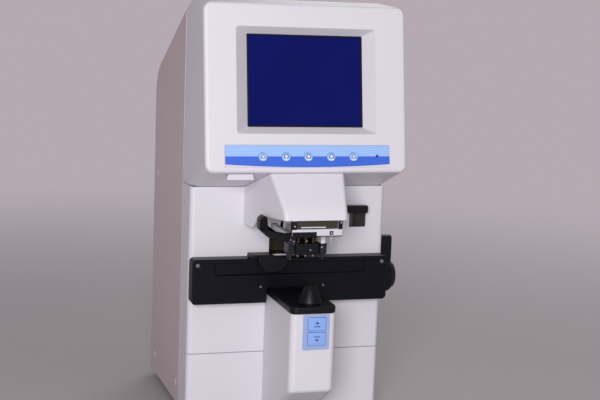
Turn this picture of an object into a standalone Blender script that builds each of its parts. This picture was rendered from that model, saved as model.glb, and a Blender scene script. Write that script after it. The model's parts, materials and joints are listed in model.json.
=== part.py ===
"""Automatic lensmeter (auto focimeter) for an optician's desk.

The instrument is a tall housing with a tilted screen head, an upper optical nose that looks down,
a lower optical nose that shines up through the lens under test, and a lens table that slides
between them. Units are metres, +Z is up and the operator stands on the -Y side.

Coordinates below are written in the housing frame: X = 0 is the plane of symmetry, Y = 0 is the
flat front face of the housing and Z = 0 is the desk. At the end everything hangs on one empty
that puts the origin at the bottom centre of the whole instrument.
"""

import math

import bmesh
import bpy
from mathutils import Vector

# ---------------------------------------------------------------- driving dimensions
GAP = 0.0003               # clearance kept between neighbouring pieces
HALF_WIDTH = 0.100         # housing, half of 200 mm
REAR = 0.1886              # back of the cover
SEAM = 0.0365              # joint between the front mouldings and the metal cover
TOP = 0.4195               # highest point of the head
FOOT_HEIGHT = 0.008
FOOT_RADIUS = 0.011
COVER_BOTTOM = 0.009
COVER_WALL = 0.0015
COVER_TOP_AT_SEAM = 0.4143
COVER_SLOPE = 0.491        # fall of the sloping back per metre of depth
COVER_EDGE_RADIUS = 0.008
COVER_BEND_RADIUS = 0.040

SHELL = 0.0025             # wall of the plastic mouldings
FRONT_EDGE_RADIUS = 0.005
LOWER_PANEL_TOP = 0.0717
MOULDING_BOTTOM = 0.0722
MOULDING_TOP = 0.2383

HEAD_HALF_WIDTH = 0.0995
HEAD_CORNER_RADIUS = 0.008
FACE_BOTTOM = (-0.0583, 0.2600)      # (Y, Z) of the screen face's lower edge
FACE_TOP = (-0.0327, 0.4158)         # (Y, Z) of its upper edge
FACE_THICKNESS = 0.010
HEAD_UNDERSIDE_REAR = 0.2388

SCREEN_HALF_WIDTH = 0.0569
SCREEN_LOW, SCREEN_HIGH = 0.0432, 0.1302       # heights along the face
SCREEN_DEPTH = 0.0074
BEVEL_HALF_WIDTH = 0.0690
BEVEL_LOW, BEVEL_HIGH = 0.0368, 0.1355

LABEL_LEFT, LABEL_RIGHT = -0.0805, 0.0815
LABEL_TOP, LABEL_END_BOTTOM, LABEL_MID_BOTTOM = 0.0254, 0.0077, 0.0050
LABEL_THICKNESS = 0.0005
MENU_KEY_PLACES = (-0.0445, -0.0220, 0.0, 0.0225, 0.0450)
MENU_KEY_HEIGHT = 0.0144
MENU_KEY_RADIUS = 0.0040
KEY_PROUD = 0.0010
KEY_TRAVEL_ROOM = 0.0014

AXIS_Y = -0.0765           # optical axis, X = 0
NOSE_REAR_HALF, NOSE_FRONT_HALF = 0.0465, 0.0303   # upper nose, half widths at Y = 0 and at its front
NOSE_FRONT = -0.0890

LOWER_NOSE_HALF = 0.0222
LOWER_NOSE_FRONT = -0.0918
LOWER_NOSE_BOTTOM, LOWER_NOSE_TOP = 0.0547, 0.1312  # lowest point of its front, and its top
LOWER_NOSE_FOOT = (-0.0180, 0.0095)                # (Y, Z) where the sloping underside ends
LOWER_NOSE_CORNER = 0.006
CAP_TOP = 0.1380
NOSEPIECE_TOP = 0.1550
NOSEPIECE_RADIUS = 0.0114
LOWER_LABEL = (-0.0108, 0.0153, 0.0970, 0.1310)    # X from, X to, Z from, Z to
LOWER_KEY_HEIGHTS = (0.1075, 0.1217)
LOWER_KEY_X = 0.0029
LOWER_KEY_SIZE = (0.0176, 0.0124)
KEY_FRONT = -0.0935

TABLE_DEPTH = 0.0156
TABLE_BOTTOM, TABLE_TOP = 0.1252, 0.1696
TABLE_END_RADIUS = 0.004
GROOVE = (-0.0775, 0.0763, 0.1535, 0.1653)         # X from, X to, Z from, Z to
GROOVE_DEPTH = 0.0030
NOTCH_HALF, NOTCH_TOP = 0.0250, 0.1405
ROD_X, ROD_Z, ROD_RADIUS = 0.060, 0.147, 0.004
ROD_REAR = 0.125
SLIDER_X = -0.0199
SLIDER_RADIUS = 0.0158

LEVER_Y, LEVER_Z = 0.0215, 0.142                   # axis of the table lever
LEVER_OUTER = 0.1200
LEVER_HUB_RADIUS = 0.0170
LEVER_ARM_OUTER = 0.1162
LEVER_TOP = 0.1840
PINION_TEETH, GEAR_MODULE = 22, 0.0015
PINION_RADIUS = PINION_TEETH * GEAR_MODULE / 2
PINION_X = (0.069, 0.077)
SHAFT_RADIUS = 0.004

RECESS_HALF = 0.0195
RECESS_BOTTOM, RECESS_TOP = 0.1705, 0.1895
CARRIAGE_SLOT_HALF, CARRIAGE_SLOT_TOP = 0.0065, 0.2072
FORK_SLOT_TOP = 0.2016
LINER_REAR = 0.034
MARKER_HALF = 0.0115
MARKER_FRONT, MARKER_REAR = -0.0625, -0.0445
MARKER_LOW, MARKER_HIGH = 0.1815, 0.2065
MARKER_PIN_Y = -0.0570
MARKER_PIN_X = (-0.0075, 0.0, 0.0075)
CARRIAGE_Y, CARRIAGE_Z = 0.004, 0.201              # centre of the marker's carriage
PRESSER_INNER, PRESSER_OUTER = 0.0125, 0.0170
PRESSER_LOW, PRESSER_HIGH = 0.1930, 0.2010
PRESSER_FRONT, PRESSER_REAR, BRIDGE_FRONT = -0.0660, 0.0195, 0.0105
PRESSER_ROD_X, PRESSER_ROD_Y, PRESSER_ROD_RADIUS = 0.0145, 0.015, 0.0015
PAD_X, PAD_Y, PAD_LOW = (0.0128, 0.0190), (-0.0640, -0.0490), 0.1830
TIP_X, TIP_Y, TIP_Z = (0.0138, 0.0182), (-0.0630, -0.0500), (0.1812, 0.1827)
TIP_PINS_Y, TIP_END = (-0.0605, -0.0525), 0.1770
MARK_LEVER_X = (0.0582, 0.0792)
MARK_LEVER_Y, MARK_LEVER_Z = 0.0350, 0.2125        # pivot of the marking lever
WINDOW = (0.0634, 0.0808, 0.1966, 0.2175)

FRAME_FRONT, FRAME_REAR = 0.0580, 0.0640
CONTRAST_X = -0.0650
INLET_X, INLET_Z = 0.050, 0.060
ROCKER_X, ROCKER_Z = 0.012, 0.060

X, Y, Z = Vector((1, 0, 0)), Vector((0, 1, 0)), Vector((0, 0, 1))


# ---------------------------------------------------------------- materials
def material(name, colour, roughness, metallic=0.0):
    """A plain Principled material; colour is linear RGB."""
    made = bpy.data.materials.new(name)
    made.use_nodes = True
    shader = made.node_tree.nodes["Principled BSDF"]
    shader.inputs["Base Color"].default_value = (*colour, 1.0)
    shader.inputs["Roughness"].default_value = roughness
    shader.inputs["Metallic"].default_value = metallic
    made.diffuse_color = (*colour, 1.0)
    return made


# ---------------------------------------------------------------- outlines
def fillet(points, radii, steps=4):
    """Round the corners of a closed outline: radii maps a corner's index to its radius."""
    rounded = []
    for i, point in enumerate(points):
        corner = Vector(point)
        radius = radii.get(i, 0.0)
        if radius <= 0:
            rounded.append(tuple(corner))
            continue
        before = (Vector(points[i - 1]) - corner).normalized()
        after = (Vector(points[(i + 1) % len(points)]) - corner).normalized()
        half_angle = math.acos(max(-1.0, min(1.0, before.dot(after)))) / 2
        centre = corner + (before + after).normalized() * radius / math.sin(half_angle)
        start = corner + before * radius / math.tan(half_angle) - centre
        end = corner + after * radius / math.tan(half_angle) - centre
        turn = math.atan2(start.x * end.y - start.y * end.x, start.dot(end))
        for step in range(steps + 1):
            angle = turn * step / steps
            cos, sin = math.cos(angle), math.sin(angle)
            rounded.append((centre.x + start.x * cos - start.y * sin,
                            centre.y + start.x * sin + start.y * cos))
    return rounded


def inset(points, amounts):
    """Move each edge of a counter-clockwise outline inwards; edge i runs from point i to i + 1."""
    count = len(points)
    edges = []
    for i in range(count):
        start, end = Vector(points[i]), Vector(points[(i + 1) % count])
        along = (end - start).normalized()
        inward = Vector((-along.y, along.x))
        edges.append((start + inward * amounts[i], along))
    moved = []
    for i in range(count):
        (p, a), (q, b) = edges[i - 1], edges[i]
        reach = ((q - p).x * b.y - (q - p).y * b.x) / (a.x * b.y - a.y * b.x)
        moved.append(tuple(p + a * reach))
    return moved


def arc(centre, radius, start, end, steps):
    """Points on an arc, angles in degrees."""
    angles = [math.radians(start + (end - start) * i / steps) for i in range(steps + 1)]
    return [(centre[0] + radius * math.cos(a), centre[1] + radius * math.sin(a)) for a in angles]


# ---------------------------------------------------------------- solids
def make(name, mesh_data, look, pivot=(0, 0, 0)):
    """An object from a bmesh in housing coordinates, with its origin at the pivot."""
    bmesh.ops.remove_doubles(mesh_data, verts=mesh_data.verts, dist=1e-6)
    bmesh.ops.recalc_face_normals(mesh_data, faces=mesh_data.faces)
    bmesh.ops.translate(mesh_data, verts=mesh_data.verts, vec=-Vector(pivot))
    mesh = bpy.data.meshes.new(name)
    mesh_data.to_mesh(mesh)
    mesh_data.free()
    if look:
        mesh.materials.append(look)
    made = bpy.data.objects.new(name, mesh)
    made.location = pivot
    bpy.context.collection.objects.link(made)
    return made


def stack(name, rings, look=None, pivot=(0, 0, 0)):
    """A closed solid through rings with the same number of points, flat at both ends."""
    solid = bmesh.new()
    loops = [[solid.verts.new(point) for point in ring] for ring in rings]
    count = len(rings[0])
    for low, high in zip(loops, loops[1:]):
        for i in range(count):
            j = (i + 1) % count
            solid.faces.new((low[i], low[j], high[j], high[i]))
    solid.faces.new(list(reversed(loops[0])))
    solid.faces.new(loops[-1])
    return make(name, solid, look, pivot)


def prism(name, outline, axis, start, end, look=None, pivot=(0, 0, 0)):
    """An outline pushed along an axis: 'X' takes (Y, Z) points, 'Y' takes (X, Z), 'Z' takes (X, Y)."""
    place = {"X": lambda a, b, t: (t, a, b), "Y": lambda a, b, t: (a, t, b),
             "Z": lambda a, b, t: (a, b, t)}[axis]
    rings = [[place(a, b, t) for a, b in outline] for t in (start, end)]
    return stack(name, rings, look, pivot)


def block(name, x, y, z, look=None, pivot=(0, 0, 0)):
    """A box between the pairs of limits x, y and z."""
    outline = [(x[0], y[0]), (x[1], y[0]), (x[1], y[1]), (x[0], y[1])]
    return prism(name, outline, "Z", z[0], z[1], look, pivot)


def turned(name, profile, base, direction, look=None, pivot=(0, 0, 0), sides=20):
    """A turned piece: profile is (radius, height) pairs, closed if it has a bore."""
    spin = Vector(direction).normalized().to_track_quat("Z", "Y").to_matrix()
    solid = bmesh.new()
    loops = []
    for radius, height in profile:
        ring = []
        for i in range(sides):
            angle = 2 * math.pi * i / sides
            point = Vector((radius * math.cos(angle), radius * math.sin(angle), height))
            ring.append(solid.verts.new(Vector(base) + spin @ point))
        loops.append(ring)
    bored = profile[0] == profile[-1]
    for low, high in zip(loops, loops[1:]):
        for i in range(sides):
            j = (i + 1) % sides
            solid.faces.new((low[i], low[j], high[j], high[i]))
    if not bored:
        solid.faces.new(list(reversed(loops[0])))
        solid.faces.new(loops[-1])
    made = make(name, solid, look, pivot)
    made.data.shade_smooth()
    made.data.set_sharp_from_angle(angle=math.radians(35))
    return made


def rod(name, start, end, radius, look=None, pivot=(0, 0, 0), sides=16):
    """A plain round rod between two points."""
    length = (Vector(end) - Vector(start)).length
    return turned(name, [(radius, 0), (radius, length)], start, Vector(end) - Vector(start),
                  look, pivot, sides)


def tube(name, start, end, outer, inner, look=None, pivot=(0, 0, 0), sides=20):
    """A plain tube between two points."""
    length = (Vector(end) - Vector(start)).length
    profile = [(inner, 0), (outer, 0), (outer, length), (inner, length), (inner, 0)]
    return turned(name, profile, start, Vector(end) - Vector(start), look, pivot, sides)


def combine(target, tools, operation):
    """Cut away or add on other closed solids, and keep only the result."""
    for tool in tools:
        tool.hide_render = True
        tool.display_type = "WIRE"
        boolean = target.modifiers.new(tool.name, "BOOLEAN")
        boolean.object = tool
        boolean.operation = operation
        boolean.solver = "EXACT"
    bpy.context.view_layer.update()
    graph = bpy.context.evaluated_depsgraph_get()
    result = bpy.data.meshes.new_from_object(target.evaluated_get(graph))
    target.modifiers.clear()
    target.data = result
    result.name = target.name
    for tool in tools:
        bpy.data.objects.remove(tool)
    return target


def cut(target, *tools):
    return combine(target, tools, "DIFFERENCE")


def add(target, *tools):
    return combine(target, tools, "UNION")


# ---------------------------------------------------------------- the tilted screen face
FACE_RISE = Vector((0, FACE_TOP[0] - FACE_BOTTOM[0], FACE_TOP[1] - FACE_BOTTOM[1])).normalized()
FACE_INWARD = Vector((0, FACE_RISE.z, -FACE_RISE.y))


def on_face(across, up, deep=0.0):
    """A point measured on the screen face: across, up along it, and deep into the head."""
    origin = Vector((0, FACE_BOTTOM[0], FACE_BOTTOM[1]))
    return origin + X * across + FACE_RISE * up + FACE_INWARD * deep


def face_slab(name, outline, near, far, look=None, pivot=(0, 0, 0)):
    """An outline on the screen face, made into a slab between two depths."""
    rings = [[on_face(u, v, deep) for u, v in outline] for deep in (near, far)]
    return stack(name, rings, look, pivot)


def rectangle(low_x, high_x, low_y, high_y):
    return [(low_x, low_y), (high_x, low_y), (high_x, high_y), (low_x, high_y)]


# ---------------------------------------------------------------- base
def base(steel, rubber):
    corners = rectangle(-0.0960, 0.0960, 0.0045, 0.1860)
    plate = prism("base_plate", fillet(corners, {2: 0.008, 3: 0.008}, 2), "Z", 0.0083, 0.0113, steel)
    vents = [block(f"cut_base_{i}", (-0.030, 0.030), (0.080 + 0.012 * i, 0.084 + 0.012 * i),
                   (0.005, 0.015)) for i in range(5)]
    cut(plate, *vents)
    for side, x in (("left", -0.078), ("right", 0.078)):
        for end, y in (("front", 0.022), ("rear", 0.166)):
            profile = [(FOOT_RADIUS * 0.88, 0), (FOOT_RADIUS, 0.0012), (FOOT_RADIUS, FOOT_HEIGHT)]
            turned(f"foot_{end}_{side}", profile, (x, y, 0), Z, rubber)


# ---------------------------------------------------------------- metal cover
def cover_outline(depth):
    """Side outline of the cover, its back and its slope moved inwards by depth."""
    bend = COVER_TOP_AT_SEAM - COVER_SLOPE * (REAR - SEAM)
    corners = [(SEAM, COVER_BOTTOM), (REAR, COVER_BOTTOM), (REAR, bend), (SEAM, COVER_TOP_AT_SEAM)]
    moved = inset(corners, (0, depth, depth, 0))
    return fillet(moved, {2: COVER_BEND_RADIUS - depth}, 6)


def rear_cover(paint):
    radius = COVER_EDGE_RADIUS
    rounding = [math.radians(angle) for angle in (90, 60, 30, 0)]
    half = [(HALF_WIDTH - radius + radius * math.sin(a), radius - radius * math.cos(a))
            for a in rounding]
    sections = [(-x, d) for x, d in half] + [(x, d) for x, d in reversed(half)]
    rings = [[(x, y, z) for y, z in cover_outline(d)] for x, d in sections]
    cover = stack("rear_cover", rings, paint)

    inner_radius = radius - COVER_WALL
    half = [(HALF_WIDTH - radius + inner_radius * math.sin(a),
             COVER_WALL + inner_radius - inner_radius * math.cos(a)) for a in rounding]
    sections = [(-x, d) for x, d in half] + [(x, d) for x, d in reversed(half)]
    rings = []
    for x, d in sections:
        outline = [(y, z) for y, z in cover_outline(d)]
        outline[0] = (SEAM - 0.01, COVER_BOTTOM - 0.01)
        outline[1] = (outline[1][0], COVER_BOTTOM - 0.01)
        outline[-1] = (SEAM - 0.01, outline[-1][1] + 0.01 * COVER_SLOPE)
        rings.append([(x, y, z) for y, z in outline])
    tools = [stack("cut_cover_inside", rings)]
    for i in range(7):
        z = 0.215 + 0.010 * i
        tools.append(block(f"cut_vent_{i}", (-0.045, 0.045), (REAR - 0.01, REAR + 0.01),
                           (z, z + 0.0035)))
    tools.append(block("cut_inlet", (INLET_X - 0.0143, INLET_X + 0.0143), (REAR - 0.01, REAR + 0.01),
                       (INLET_Z - 0.0103, INLET_Z + 0.0103)))
    tools.append(block("cut_switch", (ROCKER_X - 0.0068, ROCKER_X + 0.0068),
                       (REAR - 0.01, REAR + 0.01), (ROCKER_Z - 0.0108, ROCKER_Z + 0.0108)))
    cut(cover, *tools)


# ---------------------------------------------------------------- front mouldings
def front_outline():
    """Plan of the U-shaped front mouldings."""
    outer, inner, rear = HALF_WIDTH, HALF_WIDTH - SHELL, SEAM - GAP
    corners = [(-outer, rear), (-outer, 0), (outer, 0), (outer, rear),
               (inner, rear), (inner, SHELL), (-inner, SHELL), (-inner, rear)]
    inner_radius = FRONT_EDGE_RADIUS - SHELL
    radii = {1: FRONT_EDGE_RADIUS, 2: FRONT_EDGE_RADIUS, 5: inner_radius, 6: inner_radius}
    return fillet(corners, radii, 3)


def front_mouldings(plastic):
    prism("lower_front_panel", front_outline(), "Z", COVER_BOTTOM, LOWER_PANEL_TOP, plastic)
    moulding = prism("front_moulding", front_outline(), "Z", MOULDING_BOTTOM, MOULDING_TOP, plastic)
    through = (-0.02, 0.02)
    tools = [
        block("cut_recess", (-RECESS_HALF, RECESS_HALF), through, (RECESS_BOTTOM, RECESS_TOP)),
        block("cut_carriage_slot", (-CARRIAGE_SLOT_HALF, CARRIAGE_SLOT_HALF), through,
              (RECESS_TOP - 0.001, CARRIAGE_SLOT_TOP)),
        *[block(f"cut_fork_slot_{side}", both_sides((PRESSER_INNER - 2 * GAP, PRESSER_OUTER + 2 * GAP), side),
                through, (RECESS_TOP - 0.001, FORK_SLOT_TOP)) for side in (-1, 1)],
        block("cut_window", WINDOW[:2], through, WINDOW[2:]),
        block("cut_frame_arm", (-0.016, 0.016), through, (0.2230, 0.2500)),
        block("cut_lower_nose", (-0.016, 0.016), through, (0.0740, 0.1280)),
        block("cut_rack", (0.0675, 0.0785), through, (0.1555, 0.1675)),
        *[rod(f"cut_rod_{i}", (x, -0.02, ROD_Z), (x, 0.02, ROD_Z), ROD_RADIUS + 2 * GAP)
          for i, x in enumerate((-ROD_X, ROD_X))],
        rod("cut_shaft", (0.09, LEVER_Y, LEVER_Z), (0.11, LEVER_Y, LEVER_Z), SHAFT_RADIUS + 2 * GAP),
    ]
    cut(moulding, *tools)


# ---------------------------------------------------------------- screen head
def head_outline(side, face, wall=0.0, open_out=0.0):
    """Side outline of the head: side rounds its corners off, face and wall thin it from inside."""
    rear = SEAM - GAP
    corners = [FACE_BOTTOM, (0, HEAD_UNDERSIDE_REAR), (rear, HEAD_UNDERSIDE_REAR),
               (rear, COVER_TOP_AT_SEAM), (0.022, TOP), FACE_TOP]
    moves = (side + wall, -open_out, -2 * open_out, side + wall, side + wall, face)
    return inset(corners, moves)


def head(plastic):
    radius = HEAD_CORNER_RADIUS
    half = []
    for angle in (90, 60, 30, 0):
        a = math.radians(angle)
        chamfer = 0.002 if angle == 90 else 0.0005 if angle == 60 else 0.0
        half.append((HEAD_HALF_WIDTH - radius + radius * math.sin(a), radius - radius * math.cos(a),
                     chamfer))
    sections = [(-x, d, c) for x, d, c in half] + [(x, d, c) for x, d, c in reversed(half)]
    rings = [[(x, y, z) for y, z in head_outline(d, c)] for x, d, c in sections]
    bezel = stack("head_bezel", rings, plastic)

    inner_x = HEAD_HALF_WIDTH - SHELL
    half = [(inner_x, 0.004), (inner_x - 0.004, 0.0)]
    sections = [(-x, d) for x, d in half] + [(x, d) for x, d in reversed(half)]
    rings = [[(x, y, z) for y, z in head_outline(d, FACE_THICKNESS, SHELL, 0.01)]
             for x, d in sections]
    tools = [stack("cut_head_inside", rings)]

    slope = (BEVEL_HALF_WIDTH - SCREEN_HALF_WIDTH) / SCREEN_DEPTH
    over = 0.001
    wide = BEVEL_HALF_WIDTH + slope * over
    rings = [
        [on_face(u, v, -over) for u, v in rectangle(-wide, wide, BEVEL_LOW - over, BEVEL_HIGH + over)],
        [on_face(u, v, SCREEN_DEPTH) for u, v in rectangle(-SCREEN_HALF_WIDTH, SCREEN_HALF_WIDTH,
                                                           SCREEN_LOW, SCREEN_HIGH)],
    ]
    tools.append(stack("cut_screen_bevel", rings))
    seat = rectangle(-SCREEN_HALF_WIDTH - 0.001, SCREEN_HALF_WIDTH + 0.001,
                     SCREEN_LOW - 0.001, SCREEN_HIGH + 0.001)
    tools.append(face_slab("cut_screen_seat", seat, SCREEN_DEPTH - 0.0002, FACE_THICKNESS + 0.003))
    pocket = rectangle(LABEL_LEFT - GAP, LABEL_RIGHT + GAP, LABEL_MID_BOTTOM - GAP, LABEL_TOP + GAP)
    tools.append(face_slab("cut_label", pocket, -0.002, LABEL_THICKNESS + GAP))
    for i, u in enumerate(MENU_KEY_PLACES):
        tools.append(rod(f"cut_key_{i}", on_face(u, MENU_KEY_HEIGHT, -0.002),
                         on_face(u, MENU_KEY_HEIGHT, 0.0050), MENU_KEY_RADIUS + 0.0004))
    tools.append(block("cut_contrast", (CONTRAST_X - 0.0095, CONTRAST_X + 0.0095),
                       (-0.0470, -0.0430), (0.240, 0.262)))
    tools.append(block("cut_arm", (-0.016, 0.016), (-0.030, 0.030), (0.220, 0.2520)))
    cut(bezel, *tools)


def display(glass, metal):
    edge = 0.0006
    pane = rectangle(-SCREEN_HALF_WIDTH - edge, SCREEN_HALF_WIDTH + edge,
                     SCREEN_LOW - edge, SCREEN_HIGH + edge)
    face_slab("screen_glass", pane, SCREEN_DEPTH + 0.0002, SCREEN_DEPTH + 0.0012, glass)
    panel = rectangle(-0.070, 0.070, 0.034, 0.139)
    face_slab("lcd_module", panel, FACE_THICKNESS + GAP, FACE_THICKNESS + 0.0093, metal)


def label_strip(film):
    middle = (LABEL_LEFT + LABEL_RIGHT) / 2
    half = (LABEL_RIGHT - LABEL_LEFT) / 2
    sag = LABEL_END_BOTTOM - LABEL_MID_BOTTOM
    steps = 12
    bottom = []
    for i in range(steps + 1):
        t = -1 + 2 * i / steps
        bottom.append((middle + half * t, LABEL_MID_BOTTOM + sag * t * t))
    outline = bottom + [(LABEL_RIGHT, LABEL_TOP), (LABEL_LEFT, LABEL_TOP)]
    strip = face_slab("label_strip", outline, 0.0, LABEL_THICKNESS, film)
    holes = [rod(f"cut_label_{i}", on_face(u, MENU_KEY_HEIGHT, -0.002), on_face(u, MENU_KEY_HEIGHT, 0.002),
                 MENU_KEY_RADIUS + 0.0004) for i, u in enumerate(MENU_KEY_PLACES)]
    cut(strip, *holes)


def menu_keys(plastic):
    length = KEY_PROUD + 0.0050 - KEY_TRAVEL_ROOM
    for i, u in enumerate(MENU_KEY_PLACES):
        front = on_face(u, MENU_KEY_HEIGHT, -KEY_PROUD)
        profile = [(MENU_KEY_RADIUS - 0.0005, 0), (MENU_KEY_RADIUS, 0.0005), (MENU_KEY_RADIUS, length)]
        turned(f"menu_key_{i + 1}", profile, front, FACE_INWARD, plastic, front, 16)


def contrast_knob(plastic):
    """Small tab under the screen face with a stem through the slot in the head's underside."""
    x = CONTRAST_X
    outline = [(x - 0.0130, 0.2525), (x + 0.0130, 0.2525), (x + 0.0110, 0.2610), (x - 0.0110, 0.2610)]
    pivot = (x, -0.0450, 0.2525)
    knob = prism("contrast_knob", outline, "Y", -0.0545, -0.0425, plastic, pivot)
    low, high = 0.2532, 0.2620
    head_under = block("cut_knob_top", (x - 0.02, x + 0.02), (-0.06, -0.03), (0.25, 0.27))
    for vertex in head_under.data.vertices:
        if vertex.co.z < 0.26:
            vertex.co.z = underside(vertex.co.y) - 0.0005
    cut(knob, head_under)
    add(knob, block("add_stem", (x - 0.003, x + 0.003), (-0.0462, -0.0438), (low, high)))


def underside(y):
    """Height of the head's sloping underside at depth y."""
    return HEAD_UNDERSIDE_REAR + (FACE_BOTTOM[1] - HEAD_UNDERSIDE_REAR) * y / FACE_BOTTOM[0]


# ---------------------------------------------------------------- upper nose
def nose_half(y):
    """Half width of the upper nose: it narrows evenly towards the front."""
    return NOSE_REAR_HALF + (NOSE_FRONT_HALF - NOSE_REAR_HALF) * y / NOSE_FRONT


def nose_rings(outline, wall):
    return [[(side * (nose_half(y) - wall), y, z) for y, z in outline] for side in (-1, 1)]


def upper_nose(plastic, dark, steel, glass, board):
    rear = -GAP
    outline = [(-0.0190, 0.2010), (rear, 0.2010), (rear, underside(rear) - GAP),
               (-0.0564, underside(-0.0564) - GAP), (-0.0856, 0.2287), (NOSE_FRONT, 0.2190),
               (-0.0330, 0.2155)]
    housing = stack("upper_nose_housing", nose_rings(outline, 0.0), plastic)
    wall = inset(outline, (0, -0.01, SHELL, SHELL, SHELL, 0, 0))
    below = 0.18
    hollow = [(wall[5][0], below), (wall[2][0], below)] + wall[2:6]
    cut(housing, stack("cut_nose_inside", nose_rings(hollow, SHELL)))
    cut(housing, block("cut_nose_arm", (-0.016, 0.016), (-0.030, 0.01), (0.210, 0.262)))

    low, high = 0.2190, 0.2208
    edge = SHELL + GAP
    front, back = -0.0850, -0.0345
    plan = [(-nose_half(front) + edge, front), (nose_half(front) - edge, front),
            (nose_half(back) - edge, back), (-nose_half(back) + edge, back)]
    plate = prism("nose_plate", plan, "Z", low, high, dark)
    cut(plate, rod("cut_objective", (0, AXIS_Y, low - 0.01), (0, AXIS_Y, high + 0.01), 0.0068))

    tube("objective_barrel", (0, AXIS_Y, 0.2160), (0, AXIS_Y, 0.2241), 0.0064, 0.0050, steel)
    dome = [(0.0046, 0), (0.0046, 0.0016), (0.0036, 0.0023), (0.0018, 0.0027)]
    turned("objective_lens", dome, (0, AXIS_Y, 0.2175), Z, glass, sides=16)
    block("sensor_board", (-0.013, 0.013), (-0.0785, -0.0480), (0.2289, 0.2304), board)


# ---------------------------------------------------------------- lower nose
def lower_nose_plan(front, wall=0.0, rear=-GAP):
    """Plan of the lower nose with its front at the given depth; wall thins it from inside."""
    half, radius = LOWER_NOSE_HALF - wall, LOWER_NOSE_CORNER - wall
    return fillet(rectangle(-half, half, front, rear), {0: radius, 1: radius}, 4)


def lower_nose(plastic, dark, film, board, glass):
    foot_y, foot_z = LOWER_NOSE_FOOT
    ease, floor = 0.0025, 0.0035
    levels = [(foot_y, foot_z), (LOWER_NOSE_FRONT + ease, LOWER_NOSE_BOTTOM),
              (LOWER_NOSE_FRONT, LOWER_NOSE_BOTTOM + ease), (LOWER_NOSE_FRONT, LOWER_NOSE_TOP)]
    rings = [[(x, y, z) for x, y in lower_nose_plan(front)] for front, z in levels]
    housing = stack("lower_nose_housing", rings, plastic)
    levels = [(foot_y, foot_z + floor), (LOWER_NOSE_FRONT + SHELL, LOWER_NOSE_BOTTOM + floor),
              (LOWER_NOSE_FRONT + SHELL, LOWER_NOSE_TOP + 0.01)]
    inside = [[(x, y, z) for x, y in lower_nose_plan(front, SHELL, 0.01)] for front, z in levels]
    tools = [stack("cut_lower_inside", inside)]
    for i, z in enumerate(LOWER_KEY_HEIGHTS):
        tools.append(key_slab(f"cut_lower_key_{i}", z, 0.0004, -0.10, -0.08))
    cut(housing, *tools)

    corners = [(-0.0226, -0.0925), (0.0226, -0.0925), (0.0226, -GAP), (-0.0226, -GAP)]
    plan = fillet(corners, {0: 0.008, 1: 0.008}, 2)
    cap = prism("nose_cap", plan, "Z", LOWER_NOSE_TOP + GAP, CAP_TOP, dark)
    cut(cap, rod("cut_cap", (0, AXIS_Y, 0.12), (0, AXIS_Y, 0.15), 0.0070))

    low = CAP_TOP + GAP
    high = NOSEPIECE_TOP
    profile = [(0.0040, low), (NOSEPIECE_RADIUS, low), (NOSEPIECE_RADIUS, low + 0.0025),
               (0.0100, low + 0.0065), (0.0075, low + 0.0120), (0.0052, high - 0.0010),
               (0.0046, high), (0.0036, high), (0.0036, low + 0.004), (0.0040, low)]
    turned("nosepiece", profile, (0, AXIS_Y, 0), Z, dark)

    tube("collimator_tube", (0, AXIS_Y, 0.0875), (0, AXIS_Y, 0.1308), 0.0100, 0.0086, dark)
    lens = [(0.0060, 0), (0.0082, 0.0012), (0.0082, 0.0030), (0.0060, 0.0042)]
    turned("collimator_lens", lens, (0, AXIS_Y, 0.1240), Z, glass, sides=16)
    source = block("light_source", (-0.0105, 0.0105), (AXIS_Y - 0.0105, AXIS_Y + 0.0105),
                   (0.0830, 0.0846), board)
    add(source, rod("add_lamp", (0, AXIS_Y, 0.0840), (0, AXIS_Y, 0.0910), 0.0025))

    x0, x1, z0, z1 = LOWER_LABEL
    front = LOWER_NOSE_FRONT - GAP
    outline = fillet(rectangle(x0, x1, z0, z1), {i: 0.0012 for i in range(4)}, 2)
    label = prism("key_label", outline, "Y", front - 0.0006, front, film)
    cut(label, *[key_slab(f"cut_label_key_{i}", z, 0.0004, -0.10, -0.08)
                 for i, z in enumerate(LOWER_KEY_HEIGHTS)])


def key_slab(name, z, margin, front, back, look=None, pivot=(0, 0, 0)):
    """A rounded rectangular slab for one of the two keys on the lower nose."""
    half_x, half_z = LOWER_KEY_SIZE[0] / 2 + margin, LOWER_KEY_SIZE[1] / 2 + margin
    corners = rectangle(LOWER_KEY_X - half_x, LOWER_KEY_X + half_x, z - half_z, z + half_z)
    outline = fillet(corners, {i: 0.0015 + margin for i in range(4)}, 2)
    return prism(name, outline, "Y", front, back, look, pivot)


def lower_keys(plastic):
    for name, z in zip(("memory_key", "read_key"), LOWER_KEY_HEIGHTS):
        key_slab(name, z, 0.0, KEY_FRONT, KEY_FRONT + 0.0052, plastic, (LOWER_KEY_X, KEY_FRONT, z))


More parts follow.
